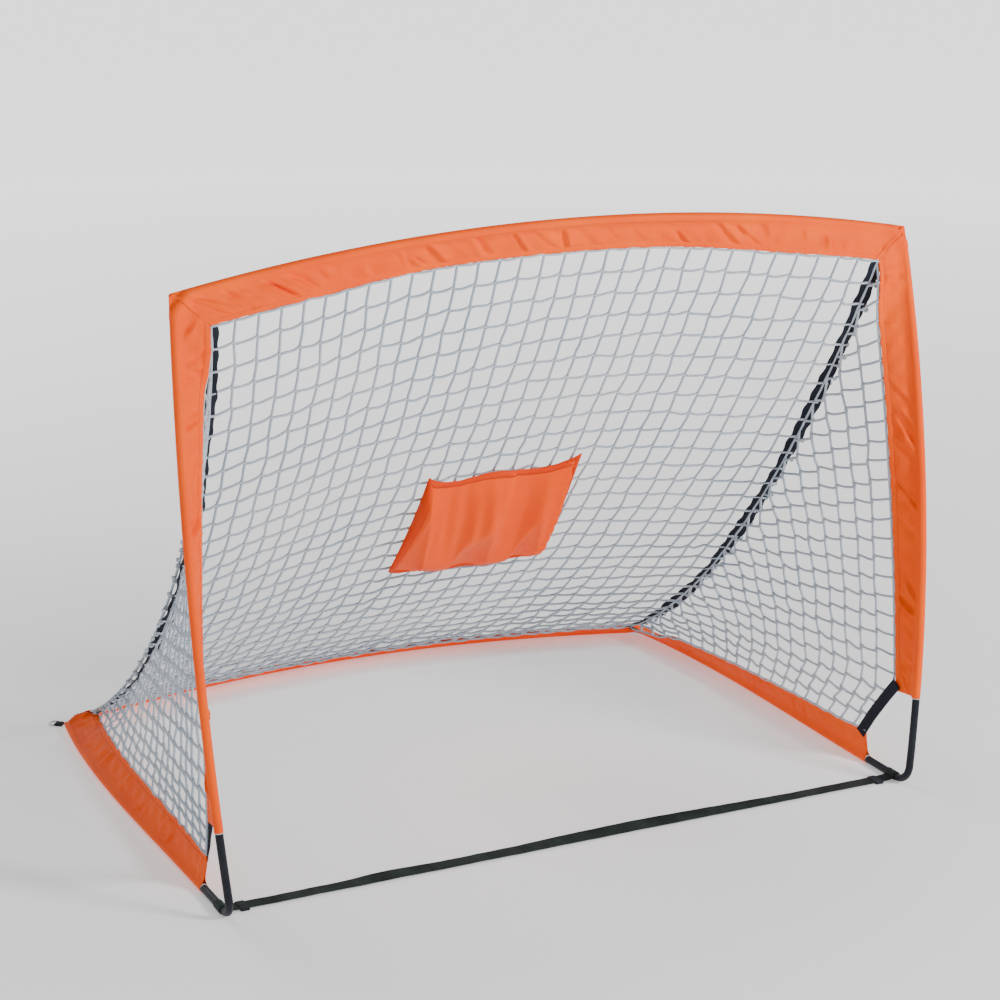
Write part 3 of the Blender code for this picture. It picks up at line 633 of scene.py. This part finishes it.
class Net:
    """Twines and joints of knotless netting, whose rows step a little at each joint."""

    def __init__(self, seed, joint, lean):
        self.draw = random.Random(seed)
        self.joint = joint
        self.lean = lean
        self.tubes = []

    def offset(self, size):
        return vec(*(self.draw.gauss(0, size) for _ in range(3)))

    def half_joint(self, down, across):
        """From a joint's middle to its lower end."""
        tilt = self.lean + self.draw.gauss(0, 0.15)
        return unit(down + across * tilt) * self.joint * self.draw.uniform(0.4, 0.6)

    def strand(self, a, b, slack=0.0016):
        """A twine between two joints, a little slack and a little bent."""
        t = np.linspace(0, 1, 6)[:, None]
        arch = 4 * t * (1 - t)
        sag = vec(0, 0, -self.draw.uniform(0.3, 1.6) * slack) + self.offset(0.35 * slack)
        sway = self.offset(0.9 * slack)
        self.tubes.append((a * (1 - t) + b * t + sag * arch + sway * arch * (1 - 2 * t), TWINE))

    def tie(self, centre, half):
        t = np.linspace(-1.25, 1.25, 7)
        fat = TWINE + (KNOT - TWINE) * np.sqrt(np.clip(1 - (t / 1.3) ** 2, 0, 1))
        self.tubes.append((centre + t[:, None] * half, fat))

    def row(self, stops):
        """Twines along a row of (middle, half joint); a stop on an edge has no joint."""
        for (a, half_a), (b, half_b) in zip(stops, stops[1:]):
            self.strand(a + half_a, b - half_b)

    def column(self, stops):
        for (a, half_a), (b, half_b) in zip(stops, stops[1:]):
            self.strand(a + half_a, b - half_b, 0.0007)

    def hook(self, start, across, normal, reach, size):
        """A twine that crosses the seam tape and ends in a small hook on its far side."""
        crossing = np.linspace(0, 1, 5)[:, None]
        flat = start + across * reach * crossing + normal * (0.0030 * np.sin(math.pi * crossing))
        turn = np.linspace(0, 0.75 * math.tau, 8)[:, None]
        down = vec(0, 0, -1)
        curl = flat[-1] + across * size * np.sin(turn) + down * size * (1 - np.cos(turn)) - normal * 0.002
        path = np.concatenate([flat, curl[1:]])
        self.tubes.append((path + self.offset(0.0007), 0.85 * TWINE))


NO_JOINT = vec(0, 0, 0)


def back_stops(net):
    """Joints of the back net: rows from seam to seam, from the crossbar down to the rear band."""
    u, v = np.meshgrid(np.linspace(-1, 1, BACK_COLUMNS + 1), np.linspace(0, 1, BACK_ROWS + 1))
    middle = back_surface(u, v)
    down = unit(back_surface(u, np.minimum(v + 0.01, 1)) - back_surface(u, np.maximum(v - 0.01, 0)))
    stops = []
    for i in range(BACK_ROWS + 1):
        line = []
        for j in range(BACK_COLUMNS + 1):
            edge = i in (0, BACK_ROWS) or j in (0, BACK_COLUMNS)
            half = NO_JOINT if edge else net.half_joint(down[i, j], vec(1, 0, 0))
            shift = NO_JOINT if edge else net.offset(0.0010)
            line.append((middle[i, j] + shift, half))
        stops.append(line)
    return stops


def build_back_net():
    net = Net(5, BACK_JOINT, 0.35)
    stops = back_stops(net)
    for line in stops:
        net.row(line)
    for column in zip(*stops):
        net.column(column)
    for line in stops[1:-1]:
        for centre, half in line[1:-1]:
            net.tie(centre, half)
        for centre, _ in (line[0], line[-1]):
            outward = vec(math.copysign(1, centre[0]), 0, 0)
            net.hook(centre - 0.002 * outward, outward, vec(*HOOK_FACE), 0.013, 0.0035)
    piece = joined_tubes("back_net_twine", net.tubes, "net_twine")
    finish_net(piece, "back_net", (2 * along(TOP_EDGE)[-1], along(SEAM)[-1]))


def side_stops(net):
    """Joints of the right side net: level rows from post to seam, upright columns from base to seam."""
    vs = np.linspace(0, 1, SIDE_ROWS + 1)
    u = np.linspace(0, 1, 80)
    lines = [side_surface(u, np.full(80, v)) for v in vs]
    base_y = np.linspace(lines[-1][0, 1], lines[-1][-1, 1], SIDE_COLUMNS + 1)
    grid = [[None] * len(base_y) for _ in vs]
    for i, line in enumerate(lines):
        lean = 0.8 * (line[0, 1] - lines[-1][0, 1])
        for j, y in enumerate(base_y):
            place = y + lean * (1 - j / SIDE_COLUMNS)
            if 0 < i and line[0, 1] + 0.4 * CELL < place < line[-1, 1] - 0.3 * CELL:
                spot = lookup(place, line[:, 1], line)
                last = i == len(lines) - 1
                half = NO_JOINT if last else net.half_joint(vec(0, 0.1, -1), vec(0, 1, 0))
                grid[i][j] = (spot + (NO_JOINT if last else net.offset(0.0011)), half)
    return lines, grid


def build_side_net(side, seed):
    net = Net(seed, SIDE_JOINT, -0.25)
    lines, grid = side_stops(net)
    for line, stops in zip(lines, grid):
        inner = [stop for stop in stops if stop]
        net.row([(line[0], NO_JOINT), *inner, (line[-1], NO_JOINT)])
    for j in range(SIDE_COLUMNS + 1):
        inner = [row[j] for row in grid if row[j]]
        if inner:
            y = inner[0][0][1] - 0.3 * CELL
            top = lookup(y, SEAM[:, 1], SEAM)
            net.column([(top, NO_JOINT), *inner])
    for line, stops in zip(lines[1:-1], grid[1:-1]):
        for centre, half in filter(None, stops):
            net.tie(centre, half)
        net.hook(line[-1] + vec(0.013, 0, 0), vec(0.6, -0.5, 0.1), vec(0.3, -0.75, -0.66), 0.006, 0.003)
    post_edge = np.array([line[0] for line in lines])
    net.tubes.append((post_edge + vec(0, 0.003, 0), TWINE))
    net.tubes.append((SEAM + vec(0.009, 0.004, 0.002), TWINE))
    tubes = [(sided(path, side), radius) for path, radius in net.tubes]
    piece = joined_tubes(f"side_net_{side}_twine", tubes, "net_twine")
    base = along(BANDS["side"].edge(FLAP_REACH))[-1]
    finish_net(piece, f"side_net_{side}", (base, along(post_edge)[-1]))


def build_nets():
    build_back_net()
    build_side_net("right", 12)
    build_side_net("left", 16)


def finish_net(piece, node, flat):
    """Paints a net, hides its CAD node and bakes it in place. Most of a net is holes; its width by length
    is rounded but not used.
    """
    paint(piece, TWINE_LOOK)
    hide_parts(node)
    flat = tuple(round(float(x), 3) for x in flat)
    blend_to_mouth(piece)


def blend_to_mouth(piece):
    """Bakes the placement into the mesh of what is sewn between the two bodies."""
    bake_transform(piece)


# Webbing


def webbing_points(path, across, width, wave, seed):
    """Grid of points of a flat, slightly rippled strap along a path."""
    draw = random.Random(seed)
    d = along(path)
    v = np.linspace(-width / 2, width / 2, WEBBING_COLUMNS)
    points = path[:, None] + across[:, None] * v[None, :, None]
    normal = unit(np.cross(tangents(path), across))
    ripple = 0 * d
    for _ in range(3):
        ripple = ripple + RIPPLE * np.sin(math.tau * d / draw.uniform(0.04, 0.15) + draw.uniform(0, 6))
    cup = (v / width) ** 2
    shape = wave * ripple[:, None] * (0.4 + cup[None])
    return points + normal[:, None] * shape[..., None]


def finish_webbing(piece, material, node):
    """Look and CAD node of a strap that is held by stitching at its ends."""
    paint(piece, material)
    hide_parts(node)


def build_tapes():
    count = 300
    path = resample(SEAM, count)
    d = along(path)
    for side, seed in (("right", 3), ("left", 9)):
        draw = random.Random(seed)
        t = tangents(path)
        flat = unit(vec(1, 0, 0) - t * t[:, :1])
        up = np.cross(t, flat)
        slow = np.sin(math.tau * d / 0.31 + draw.uniform(0, 6))
        quick = np.sin(math.tau * d / 0.079 + 1)
        turn = 0.35 + 0.30 * slow + 0.12 * quick
        turn = turn * eased(d / 0.08) * eased((d[-1] - d) / 0.05)
        across = flat * np.cos(turn)[:, None] + up * np.sin(turn)[:, None]
        wander = 0.0012 * np.sin(math.tau * d / CELL + draw.uniform(0, 6))
        middle = path + across * wander[:, None]
        points = sided(webbing_points(middle, across, TAPE_SHARE * WEBBING, 0.0006, seed), side)
        piece = sheet_piece(f"seam_tape_{side}_web", points, "black_webbing", WEBBING_THICKNESS)
        finish_webbing(piece, BLACK_WEB, f"seam_tape_{side}")
        blend_to_mouth(piece)


def resample(points, count):
    return at(points, np.linspace(0, along(points)[-1], count + 1))


def build_corner_straps():
    """Short webbing sewn behind the foot of each post sleeve and the front of each side sleeve."""
    for side, post_end in ARM_ENDS.items():
        post = BANDS[f"post_{side}"].edge(FLAP_REACH - 0.010)[-1]
        base = BANDS["side"].edge(FLAP_REACH - 0.010)[-1]
        upper = post + vec(-CORNER_STRAP_INSET, 0.002, 0.55 * WEBBING)
        lower = base + vec(-CORNER_STRAP_INSET, 0.5 * WEBBING, 0.002)
        path = bowed(upper, lower, vec(-0.001, 0.0015, 0.0015), 60)
        t = tangents(path)
        side_on = unit(vec(1, 0.15, 0) - t * (t @ vec(1, 0.15, 0))[:, None])
        width = CORNER_STRAP_SHARE * WEBBING
        points = sided(webbing_points(path, np.cross(t, side_on), width, 0.0005, 4), side)
        piece = sheet_piece(f"corner_strap_{side}_web", points, "black_webbing", WEBBING_THICKNESS)
        finish_webbing(piece, BLACK_WEB, f"corner_strap_{side}")
        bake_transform(piece)


def build_ground_strap():
    """Webbing across the mouth, wound round both corner tubes and tilted towards its middle."""
    loop = TUBE_RADIUS + CLEAR + WEBBING_THICKNESS / 2
    y = MOUTH_Y + STRAP_SETBACK
    turn = np.linspace(math.radians(210), math.radians(-160), 40)
    around = [vec(GROUND_HALF_WIDTH + loop * math.cos(a), y, AXIS_Z + loop * math.sin(a)) for a in turn]
    entry = vec(GROUND_HALF_WIDTH - loop - 0.004, y, STRAP_ENTRY_Z)
    half = [vec(x, y, STRAP_REST_Z) for x in np.linspace(0, GROUND_HALF_WIDTH - loop - 0.016, 160)]
    low = np.array([*half, entry])
    path = np.concatenate([low, np.array(around)[::-1]])
    path = resample(path, 420)
    path[:, 2] = np.maximum(path[:, 2], 0.0012)
    full = np.concatenate([mirror(path[::-1]), path[1:]])
    x = full[:, 0]
    tilt = STRAP_TILT * eased((0.42 - np.abs(x)) / 0.10) * (0.8 + 0.5 * np.sin(x * 11 + 0.5))
    across = np.stack([0 * tilt, np.cos(tilt), np.sin(tilt)], -1)
    lift = 0.5 * WEBBING * np.sin(tilt)
    full[:, 2] += lift * (np.abs(x) < 0.56)
    points = webbing_points(full, across, GROUND_STRAP_SHARE * WEBBING, 0.0004, 2)
    piece = sheet_piece("ground_strap_web", points, "strap_webbing", STRAP_THICKNESS)
    finish_webbing(piece, STRAP_WEB, "ground_strap")
    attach(piece, "mouth_frame")


# Target panel

# Place across the cloth, height and half width of each tongue between the scallops
TONGUES = ((0.05, 0.80, 0.09), (0.39, 0.36, 0.05), (0.50, 0.60, 0.085), (0.82, 0.58, 0.085))
TARGET_OUT = vec(0, -0.72, -0.69)
# In shares of the back net, from its middle to a seam and from its top to its foot
TARGET_LEFT = -0.201
TARGET_WIDTH = 0.510
TARGET_TOP = 0.367
TARGET_FOOT = 0.588
TARGET_THICKNESS = 0.0009


def target_folds(u, v):
    """How far the cloth stands off the net: it comes forward down to a scalloped line, then falls back."""
    turn = 1.02 - sum(deep * np.exp(-(((u - place) / half) ** 2)) for place, deep, half in TONGUES)
    turn = np.clip(turn, 0.24, 0.82) + 0 * v
    rise, fall = v / turn, (1.0 - v) / (1.02 - turn)
    belly = -np.log(np.exp(-9 * rise) + np.exp(-9 * fall) + np.exp(-9)) / 9
    upper = eased((0.78 - v) / 0.35) * (0.25 + 0.75 * eased(v / 0.16))
    step = eased((u - 0.18) / 0.40) - eased((u - 0.575 - 0.02 * v) / 0.055) + 0.7 * eased((u - 0.70) / 0.22)
    fan = np.sin(math.tau * (9.5 * u - 1.1 * v) + 0.4) * eased((u - 0.12) / 0.1) * eased((0.62 - u) / 0.1)
    crinkle = np.sin(math.tau * 11 * v + 5 * u) * eased((u - 0.84) / 0.10)
    side = eased(u / 0.05) * eased((1 - u) / 0.05)
    soft = 0.0120 * step * upper + 0.0014 * fan * upper + 0.0011 * crinkle
    return 0.0075 + (0.030 * np.maximum(belly, 0) + soft) * side


def build_target():
    """A panel of cloth sewn to the inner face of the back net, sagging in soft folds."""
    rows, columns = 120, 150
    u = np.linspace(0, 1, columns)[None]
    v = np.linspace(0, 1, rows)[:, None]
    across = TARGET_LEFT + 0.008 * v + (TARGET_WIDTH + 0.029 * v) * u
    corner = np.abs(2 * u - 1) ** 8
    top = TARGET_TOP - 0.0135 * u + 0.0125 * (1 - corner) + 0.0045 * np.cos(math.tau * (u - 0.20) / 0.52)
    low = TARGET_FOOT + 0.020 * np.sin(math.pi * u) ** 0.7
    low = low + 0.003 * np.sin(math.tau * 3.1 * u + 1) * (1 - corner)
    base = back_surface(across, top + (low - top) * v)
    points = base + TARGET_OUT * target_folds(u, v)[..., None]
    piece = sheet_piece("target_cloth", points, "target_fabric", TARGET_THICKNESS)
    paint(piece, TARGET)
    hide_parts("target_panel")
    hem = target_hem(points)
    for part in (piece, hem):
        blend_to_mouth(part)


def target_hem(points):
    """The folded and stitched edge of the target, as a narrow band round it."""
    border = np.concatenate([points[0], points[1:, -1], points[-1, -2::-1], points[-2:0:-1, 0]])
    inside = points[5:-5, 5:-5]
    rim = np.concatenate([inside[0], inside[1:, -1], inside[-1, -2::-1], inside[-2:0:-1, 0]])
    rim = at(rim, np.linspace(0, along(rim)[-1], len(border)))
    lift = TARGET_OUT * 0.0008
    pucker = 0.0005 * np.sin(np.arange(len(border)) * 1.3)[:, None] * TARGET_OUT
    ring = np.stack([border + lift, (border + rim) / 2 + 1.6 * lift + pucker, rim + lift], 1)
    piece = mesh_piece("target_hem", *band_ring(ring), "target_fabric")
    thicken(piece, 0.0007)
    paint(piece, TARGET_HEM)
    return piece


def band_ring(ring):
    """Vertices and faces of a closed band from a ring of rows of points."""
    count, width = ring.shape[:2]
    faces = []
    for i in range(count):
        for j in range(width - 1):
            a, b = i * width + j, (i + 1) % count * width + j
            faces.append((a, a + 1, b + 1, b))
    return ring.reshape(-1, 3), faces


# Corner tubes

TUBE_BORE = ROD_RADIUS + 0.0005
TUBE_SIDES = 32
COLLAR_RADIUS = 0.0061
COLLAR_HALF_WALL = 0.0009
COLLAR_PLACE = 0.0015
COLLAR_HALF_LENGTH = 0.0011
COLLAR_PROFILE = 8


def corner_tube_path(arm_end):
    """Centre line of a right corner tube, from its ground socket round to its upright socket."""
    side, post = RUNS["side"], RUNS["post"]
    ls, lp = LENGTHS["side"], LENGTHS["post"]
    ground = at(side, np.linspace(ls - GROUND_ARM, ls - BEND_TRIM, 12))
    upright = at(post, np.linspace(lp - BEND_TRIM, lp - arm_end, 14))
    a, b = ground[-1], upright[0]
    t0, t1 = unit(ground[-1] - ground[-2]), unit(upright[1] - upright[0])
    turn = math.acos(float(t0 @ t1))
    handle = 4 / 3 * math.tan(turn / 4) * BEND_TRIM / math.tan(turn / 2)
    bend = cubic(a, a + t0 * handle, b - t1 * handle, b, 24)
    return np.concatenate([ground, bend[1:-1], upright])


def build_corner_tubes():
    lip, sides = 0.0008, TUBE_SIDES
    for side, arm_end in ARM_ENDS.items():
        line = sided(corner_tube_path(arm_end), side)
        fine = resample(line, 110)
        e = along(fine)
        ends = np.minimum(e, e[-1] - e)
        radius = TUBE_RADIUS - lip * (1 - np.sqrt(np.clip(ends / lip, 0, 1)))
        outer, faces, uv = tube_parts(fine, radius, sides, closed_ends=False)
        bore, bore_faces, bore_uv = tube_parts(fine, TUBE_BORE, sides, False, len(outer))
        count = len(outer)
        for start in (0, count - sides):
            for k in range(sides):
                a, b = start + k, start + (k + 1) % sides
                ring = [a, b, b + count, a + count]
                faces.append(ring if start == 0 else ring[::-1])
        faces += [f[::-1] for f in bore_faces]
        vertices = np.concatenate([outer, bore])
        uvs = np.concatenate([uv, bore_uv])
        piece = mesh_piece(f"corner_tube_{side}_coated", vertices, faces, "black_steel", uvs)
        paint(piece, BLACK_STEEL)
        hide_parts(f"corner_tube_{side}")
        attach(piece, "mouth_frame")
        build_collar(f"collar_ground_{side}", line[:2], "ground_frame")
        build_collar(f"collar_upright_{side}", line[:-3:-1], "mouth_frame")


def build_collar(name, end, body):
    """A pale plastic collar on the rod, just outside a corner tube's mouth."""
    out = unit(end[0] - end[1])
    turn = np.linspace(0, math.tau, COLLAR_PROFILE + 1)[:-1]
    along_rod = COLLAR_PLACE + COLLAR_HALF_LENGTH * np.cos(turn)
    profile = np.stack([along_rod, COLLAR_RADIUS + COLLAR_HALF_WALL * np.sin(turn)], -1)
    side = unit(np.cross(out, vec(1, 0, 0)))
    up = np.cross(out, side)
    rings = []
    for a in np.linspace(0, math.tau, TUBE_SIDES + 1)[:-1]:
        radial = side * math.cos(a) + up * math.sin(a)
        rings.append([end[0] + out * x + radial * r for x, r in profile])
    rings = np.array(rings)
    vertices, faces = rings.reshape(-1, 3), []
    for i in range(TUBE_SIDES):
        a, b = i * COLLAR_PROFILE, (i + 1) % TUBE_SIDES * COLLAR_PROFILE
        for j in range(COLLAR_PROFILE):
            k = (j + 1) % COLLAR_PROFILE
            faces.append((a + j, b + j, b + k, a + k))
    piece = mesh_piece(name, vertices, faces, "fibreglass")
    paint(piece, COLLAR)
    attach(piece, body)


# Materials


class Look:
    """A node material whose parts are added one call at a time."""

    def __init__(self, name, colour, roughness, metallic=0.0):
        self.material = bpy.data.materials.new(name)
        self.material.use_nodes = True
        self.tree = self.material.node_tree
        self.shader = self.tree.nodes["Principled BSDF"]
        self.shader.inputs["Base Color"].default_value = (*colour, 1)
        self.shader.inputs["Roughness"].default_value = roughness
        self.shader.inputs["Metallic"].default_value = metallic

    def node(self, kind, **inputs):
        made = self.tree.nodes.new(kind)
        for key, value in inputs.items():
            made.inputs[key.replace("_", " ")].default_value = value
        return made

    def link(self, source, target):
        self.tree.links.new(source, target)

    def feed(self, source, name):
        self.link(source, self.shader.inputs[name])

    def coordinates(self, name="Object"):
        return self.tree.nodes.new("ShaderNodeTexCoord").outputs[name]

    def noise(self, scale, detail=4.0, coordinates=None):
        made = self.node("ShaderNodeTexNoise", Scale=scale, Detail=detail)
        self.link(coordinates or self.coordinates(), made.inputs["Vector"])
        return made.outputs["Fac"]

    def ramp(self, source, stops):
        made = self.tree.nodes.new("ShaderNodeValToRGB")
        band = made.color_ramp
        while len(band.elements) < len(stops):
            band.elements.new(0.5)
        for element, (place, colour) in zip(band.elements, stops):
            element.position = place
            element.color = (*colour, 1)
        self.link(source, made.inputs["Fac"])
        return made.outputs["Color"]

    def math(self, operation, a, b):
        made = self.tree.nodes.new("ShaderNodeMath")
        made.operation = operation
        for k, value in enumerate((a, b)):
            if isinstance(value, (int, float)):
                made.inputs[k].default_value = value
            else:
                self.link(value, made.inputs[k])
        return made.outputs[0]

    def roughen(self, noise, middle, spread):
        """Roughness that wanders about its middle with a noise."""
        rough = self.math("MULTIPLY_ADD", noise, spread)
        rough.node.inputs[2].default_value = middle - spread / 2
        self.feed(rough, "Roughness")

    def weave(self, warp_scale, weft_scale):
        """Height of threads that cross, along and across a cloth."""
        uv = self.coordinates("UV")
        crossing = self.math("ADD", self.wave(warp_scale, "X", uv), self.wave(weft_scale, "Y", uv))
        return self.math("MULTIPLY", crossing, 0.5)

    def wave(self, scale, direction, coordinates):
        made = self.node("ShaderNodeTexWave", Scale=scale)
        made.bands_direction = direction
        self.link(coordinates, made.inputs["Vector"])
        return made.outputs["Fac"]

    def bump(self, height, strength, distance, normal=None):
        made = self.node("ShaderNodeBump", Strength=strength, Distance=distance)
        self.link(height, made.inputs["Height"])
        if normal is not None:
            self.link(normal, made.inputs["Normal"])
        return made.outputs["Normal"]


def cloth_look(name, deep, mid, pale, roughness):
    """Coated plain-weave polyester: fine weave, faint colour drift and small creases."""
    look = Look(name, mid, roughness)
    drift = look.noise(9, 5)
    look.feed(look.ramp(drift, [(0.25, deep), (0.55, mid), (0.8, pale)]), "Base Color")
    look.roughen(look.noise(60, 3), roughness, 0.18)
    fine = look.bump(look.weave(520, 520), 0.25, 0.0002)
    creases = look.bump(look.noise(70, 6), 0.35, 0.0012, fine)
    look.feed(creases, "Normal")
    look.shader.inputs["Specular IOR Level"].default_value = 0.06
    return look.material


def twine_look():
    # The net's twine is white: its blue-grey base colour is painted shade.
    look = Look("twine", (0.45, 0.50, 0.56), 0.8)
    uv = look.coordinates("UV")
    lay = look.node("ShaderNodeMapping", Scale=(260, 2.0, 1))
    look.link(uv, lay.inputs["Vector"])
    twist = look.wave(0.5, "DIAGONAL", lay.outputs["Vector"])
    drift = look.noise(5, 3)
    # Painted shade: greys of white twine in shade, drifting at random between them.
    shades = [(0.3, (0.37, 0.43, 0.50)), (0.55, (0.45, 0.50, 0.56)), (0.8, (0.55, 0.58, 0.61))]
    look.feed(look.ramp(drift, shades), "Base Color")
    look.feed(look.bump(twist, 0.6, 0.0006), "Normal")
    look.shader.inputs["Specular IOR Level"].default_value = 0.2
    return look.material


def webbing_look(name, dark, pale):
    look = Look(name, dark, 0.75)
    look.feed(look.ramp(look.noise(22, 5), [(0.35, dark), (0.75, pale)]), "Base Color")
    look.feed(look.bump(look.weave(210, 330), 0.7, 0.0005), "Normal")
    look.shader.inputs["Specular IOR Level"].default_value = 0.2
    return look.material


def steel_look(name, colour, pale, roughness, metallic, grain, gloss=0.5):
    look = Look(name, colour, roughness, metallic)
    look.shader.inputs["Specular IOR Level"].default_value = gloss
    wear = look.noise(grain, 6)
    look.feed(look.ramp(wear, [(0.45, colour), (0.8, pale)]), "Base Color")
    look.roughen(look.noise(grain * 3, 4), roughness, 0.2)
    look.feed(look.bump(look.noise(900, 3), 0.12, 0.0003), "Normal")
    return look.material


def rod_look():
    look = Look("glass_fibre", (0.62, 0.63, 0.60), 0.42)
    stretch = look.node("ShaderNodeMapping", Scale=(40, 40, 40))
    look.link(look.coordinates(), stretch.inputs["Vector"])
    streak = look.noise(30, 5, stretch.outputs["Vector"])
    shades = [(0.3, (0.52, 0.53, 0.50)), (0.7, (0.70, 0.71, 0.68))]
    look.feed(look.ramp(streak, shades), "Base Color")
    look.feed(look.bump(streak, 0.2, 0.0003), "Normal")
    return look.material


ORANGE = cloth_look("orange_cloth", (0.90, 0.075, 0.001), (0.95, 0.100, 0.001), (0.97, 0.130, 0.002), 0.45)
TARGET = cloth_look("target_cloth", (0.90, 0.065, 0.001), (0.94, 0.085, 0.001), (0.96, 0.110, 0.002), 0.45)
TARGET_HEM = cloth_look("target_hem", (0.66, 0.035, 0.001), (0.74, 0.048, 0.001), (0.80, 0.060, 0.002), 0.5)
THREAD = cloth_look("thread", (0.60, 0.030, 0.002), (0.68, 0.040, 0.003), (0.76, 0.060, 0.005), 0.7)
TWINE_LOOK = twine_look()
BLACK_WEB = webbing_look("black_web", (0.006, 0.008, 0.016), (0.013, 0.017, 0.029))
# The ground strap is dark navy webbing: its green-grey, lighter colours are painted reflection of green
# turf and painted light from above.
STRAP_WEB = webbing_look("strap_web", (0.012, 0.020, 0.018), (0.032, 0.048, 0.043))
BLACK_STEEL = steel_look("coated_steel", (0.006, 0.008, 0.014), (0.016, 0.019, 0.028), 0.45, 0.0, 18, 0.2)
PLATED = steel_look("plated_steel", (0.50, 0.51, 0.53), (0.66, 0.67, 0.68), 0.34, 1.0, 40)
COLLAR = steel_look("collar_plastic", (0.50, 0.55, 0.58), (0.62, 0.66, 0.69), 0.45, 0.0, 60)
RODS = rod_look()


def dress_cad():
    """Finishes of the CAD nodes that stay visible."""
    looks = {
        "rod": RODS,
        "ferrule": PLATED,
        "elbow": PLATED,
        "slider": BLACK_STEEL,
        "ring": PLATED,
        "tab": BLACK_WEB,
    }
    for name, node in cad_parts.items():
        for word, look in looks.items():
            if word in name:
                paint(node, look)


# Stage


def build_stage():
    floor_mesh = bpy.data.meshes.new("floor")
    size = FLOOR_HALF_SIZE
    corners = [(-size, -size, 0), (size, -size, 0), (size, size, 0), (-size, size, 0)]
    floor_mesh.from_pydata(corners, [], [(0, 1, 2, 3)])
    floor = bpy.data.objects.new("floor", floor_mesh)
    bpy.context.scene.collection.objects.link(floor)
    look = Look("floor", (0.93, 0.93, 0.93), 0.8)
    look.shader.inputs["Emission Color"].default_value = (1, 1, 1, 1)
    distance = look.tree.nodes.new("ShaderNodeVectorMath")
    distance.operation = "LENGTH"
    look.link(look.coordinates(), distance.inputs[0])
    share = look.math("MULTIPLY", distance.outputs["Value"], 0.1)
    glow = look.ramp(share, [(0.08, (GLOW_NEAR,) * 3), (0.6, (GLOW_FAR,) * 3)])
    look.feed(glow, "Emission Strength")
    floor_mesh.materials.append(look.material)


def build_sky():
    """Bright near the horizon and dim overhead."""
    world = bpy.data.worlds.new("studio")
    bpy.context.scene.world = world
    world.use_nodes = True
    tree = world.node_tree
    height = tree.nodes.new("ShaderNodeSeparateXYZ")
    tree.links.new(tree.nodes.new("ShaderNodeTexCoord").outputs["Generated"], height.inputs[0])
    fade = tree.nodes.new("ShaderNodeMapRange")
    for key, value in (("From Min", 0.24), ("From Max", 0.60), ("To Min", 1.05), ("To Max", 0.14)):
        fade.inputs[key].default_value = value
    tree.links.new(height.outputs["Z"], fade.inputs["Value"])
    tree.links.new(fade.outputs["Result"], tree.nodes["Background"].inputs["Strength"])
    tree.nodes["Background"].inputs["Color"].default_value = (1, 1, 1, 1)


def add_light(name, place, target, size, power):
    data = bpy.data.lights.new(name, "AREA")
    data.size = size
    data.energy = power
    light = bpy.data.objects.new(name, data)
    light.location = place
    light.rotation_euler = (Vector(target) - Vector(place)).to_track_quat("-Z", "Y").to_euler()
    bpy.context.scene.collection.objects.link(light)


def build_lights():
    middle = (0, 0, 0.4)
    add_light("key", (2.6, -4.2, 2.9), middle, 1.1, 250)
    add_light("back", (-1.2, 3.6, 3.6), middle, 2.6, 90)


def build_camera():
    data = bpy.data.cameras.new("camera")
    data.lens = CAMERA_LENS
    data.sensor_width = 36
    data.clip_end = 60
    camera = bpy.data.objects.new("camera", data)
    x, y, z = CAMERA_PLACE
    camera.location = (x, y + MOUTH_Y, z + AXIS_Z)
    turn = Matrix.Rotation(-CAMERA_YAW, 4, "Z") @ Matrix.Rotation(math.pi / 2 - CAMERA_PITCH, 4, "X")
    camera.rotation_euler = (turn @ Matrix.Rotation(-CAMERA_ROLL, 4, "Z")).to_euler()
    bpy.context.scene.collection.objects.link(camera)
    bpy.context.scene.camera = camera


build_camera()
build_stage()
build_sky()
build_lights()
build_sleeves()
build_nets()
build_tapes()
build_corner_straps()
build_ground_strap()
build_target()
build_corner_tubes()
dress_cad()
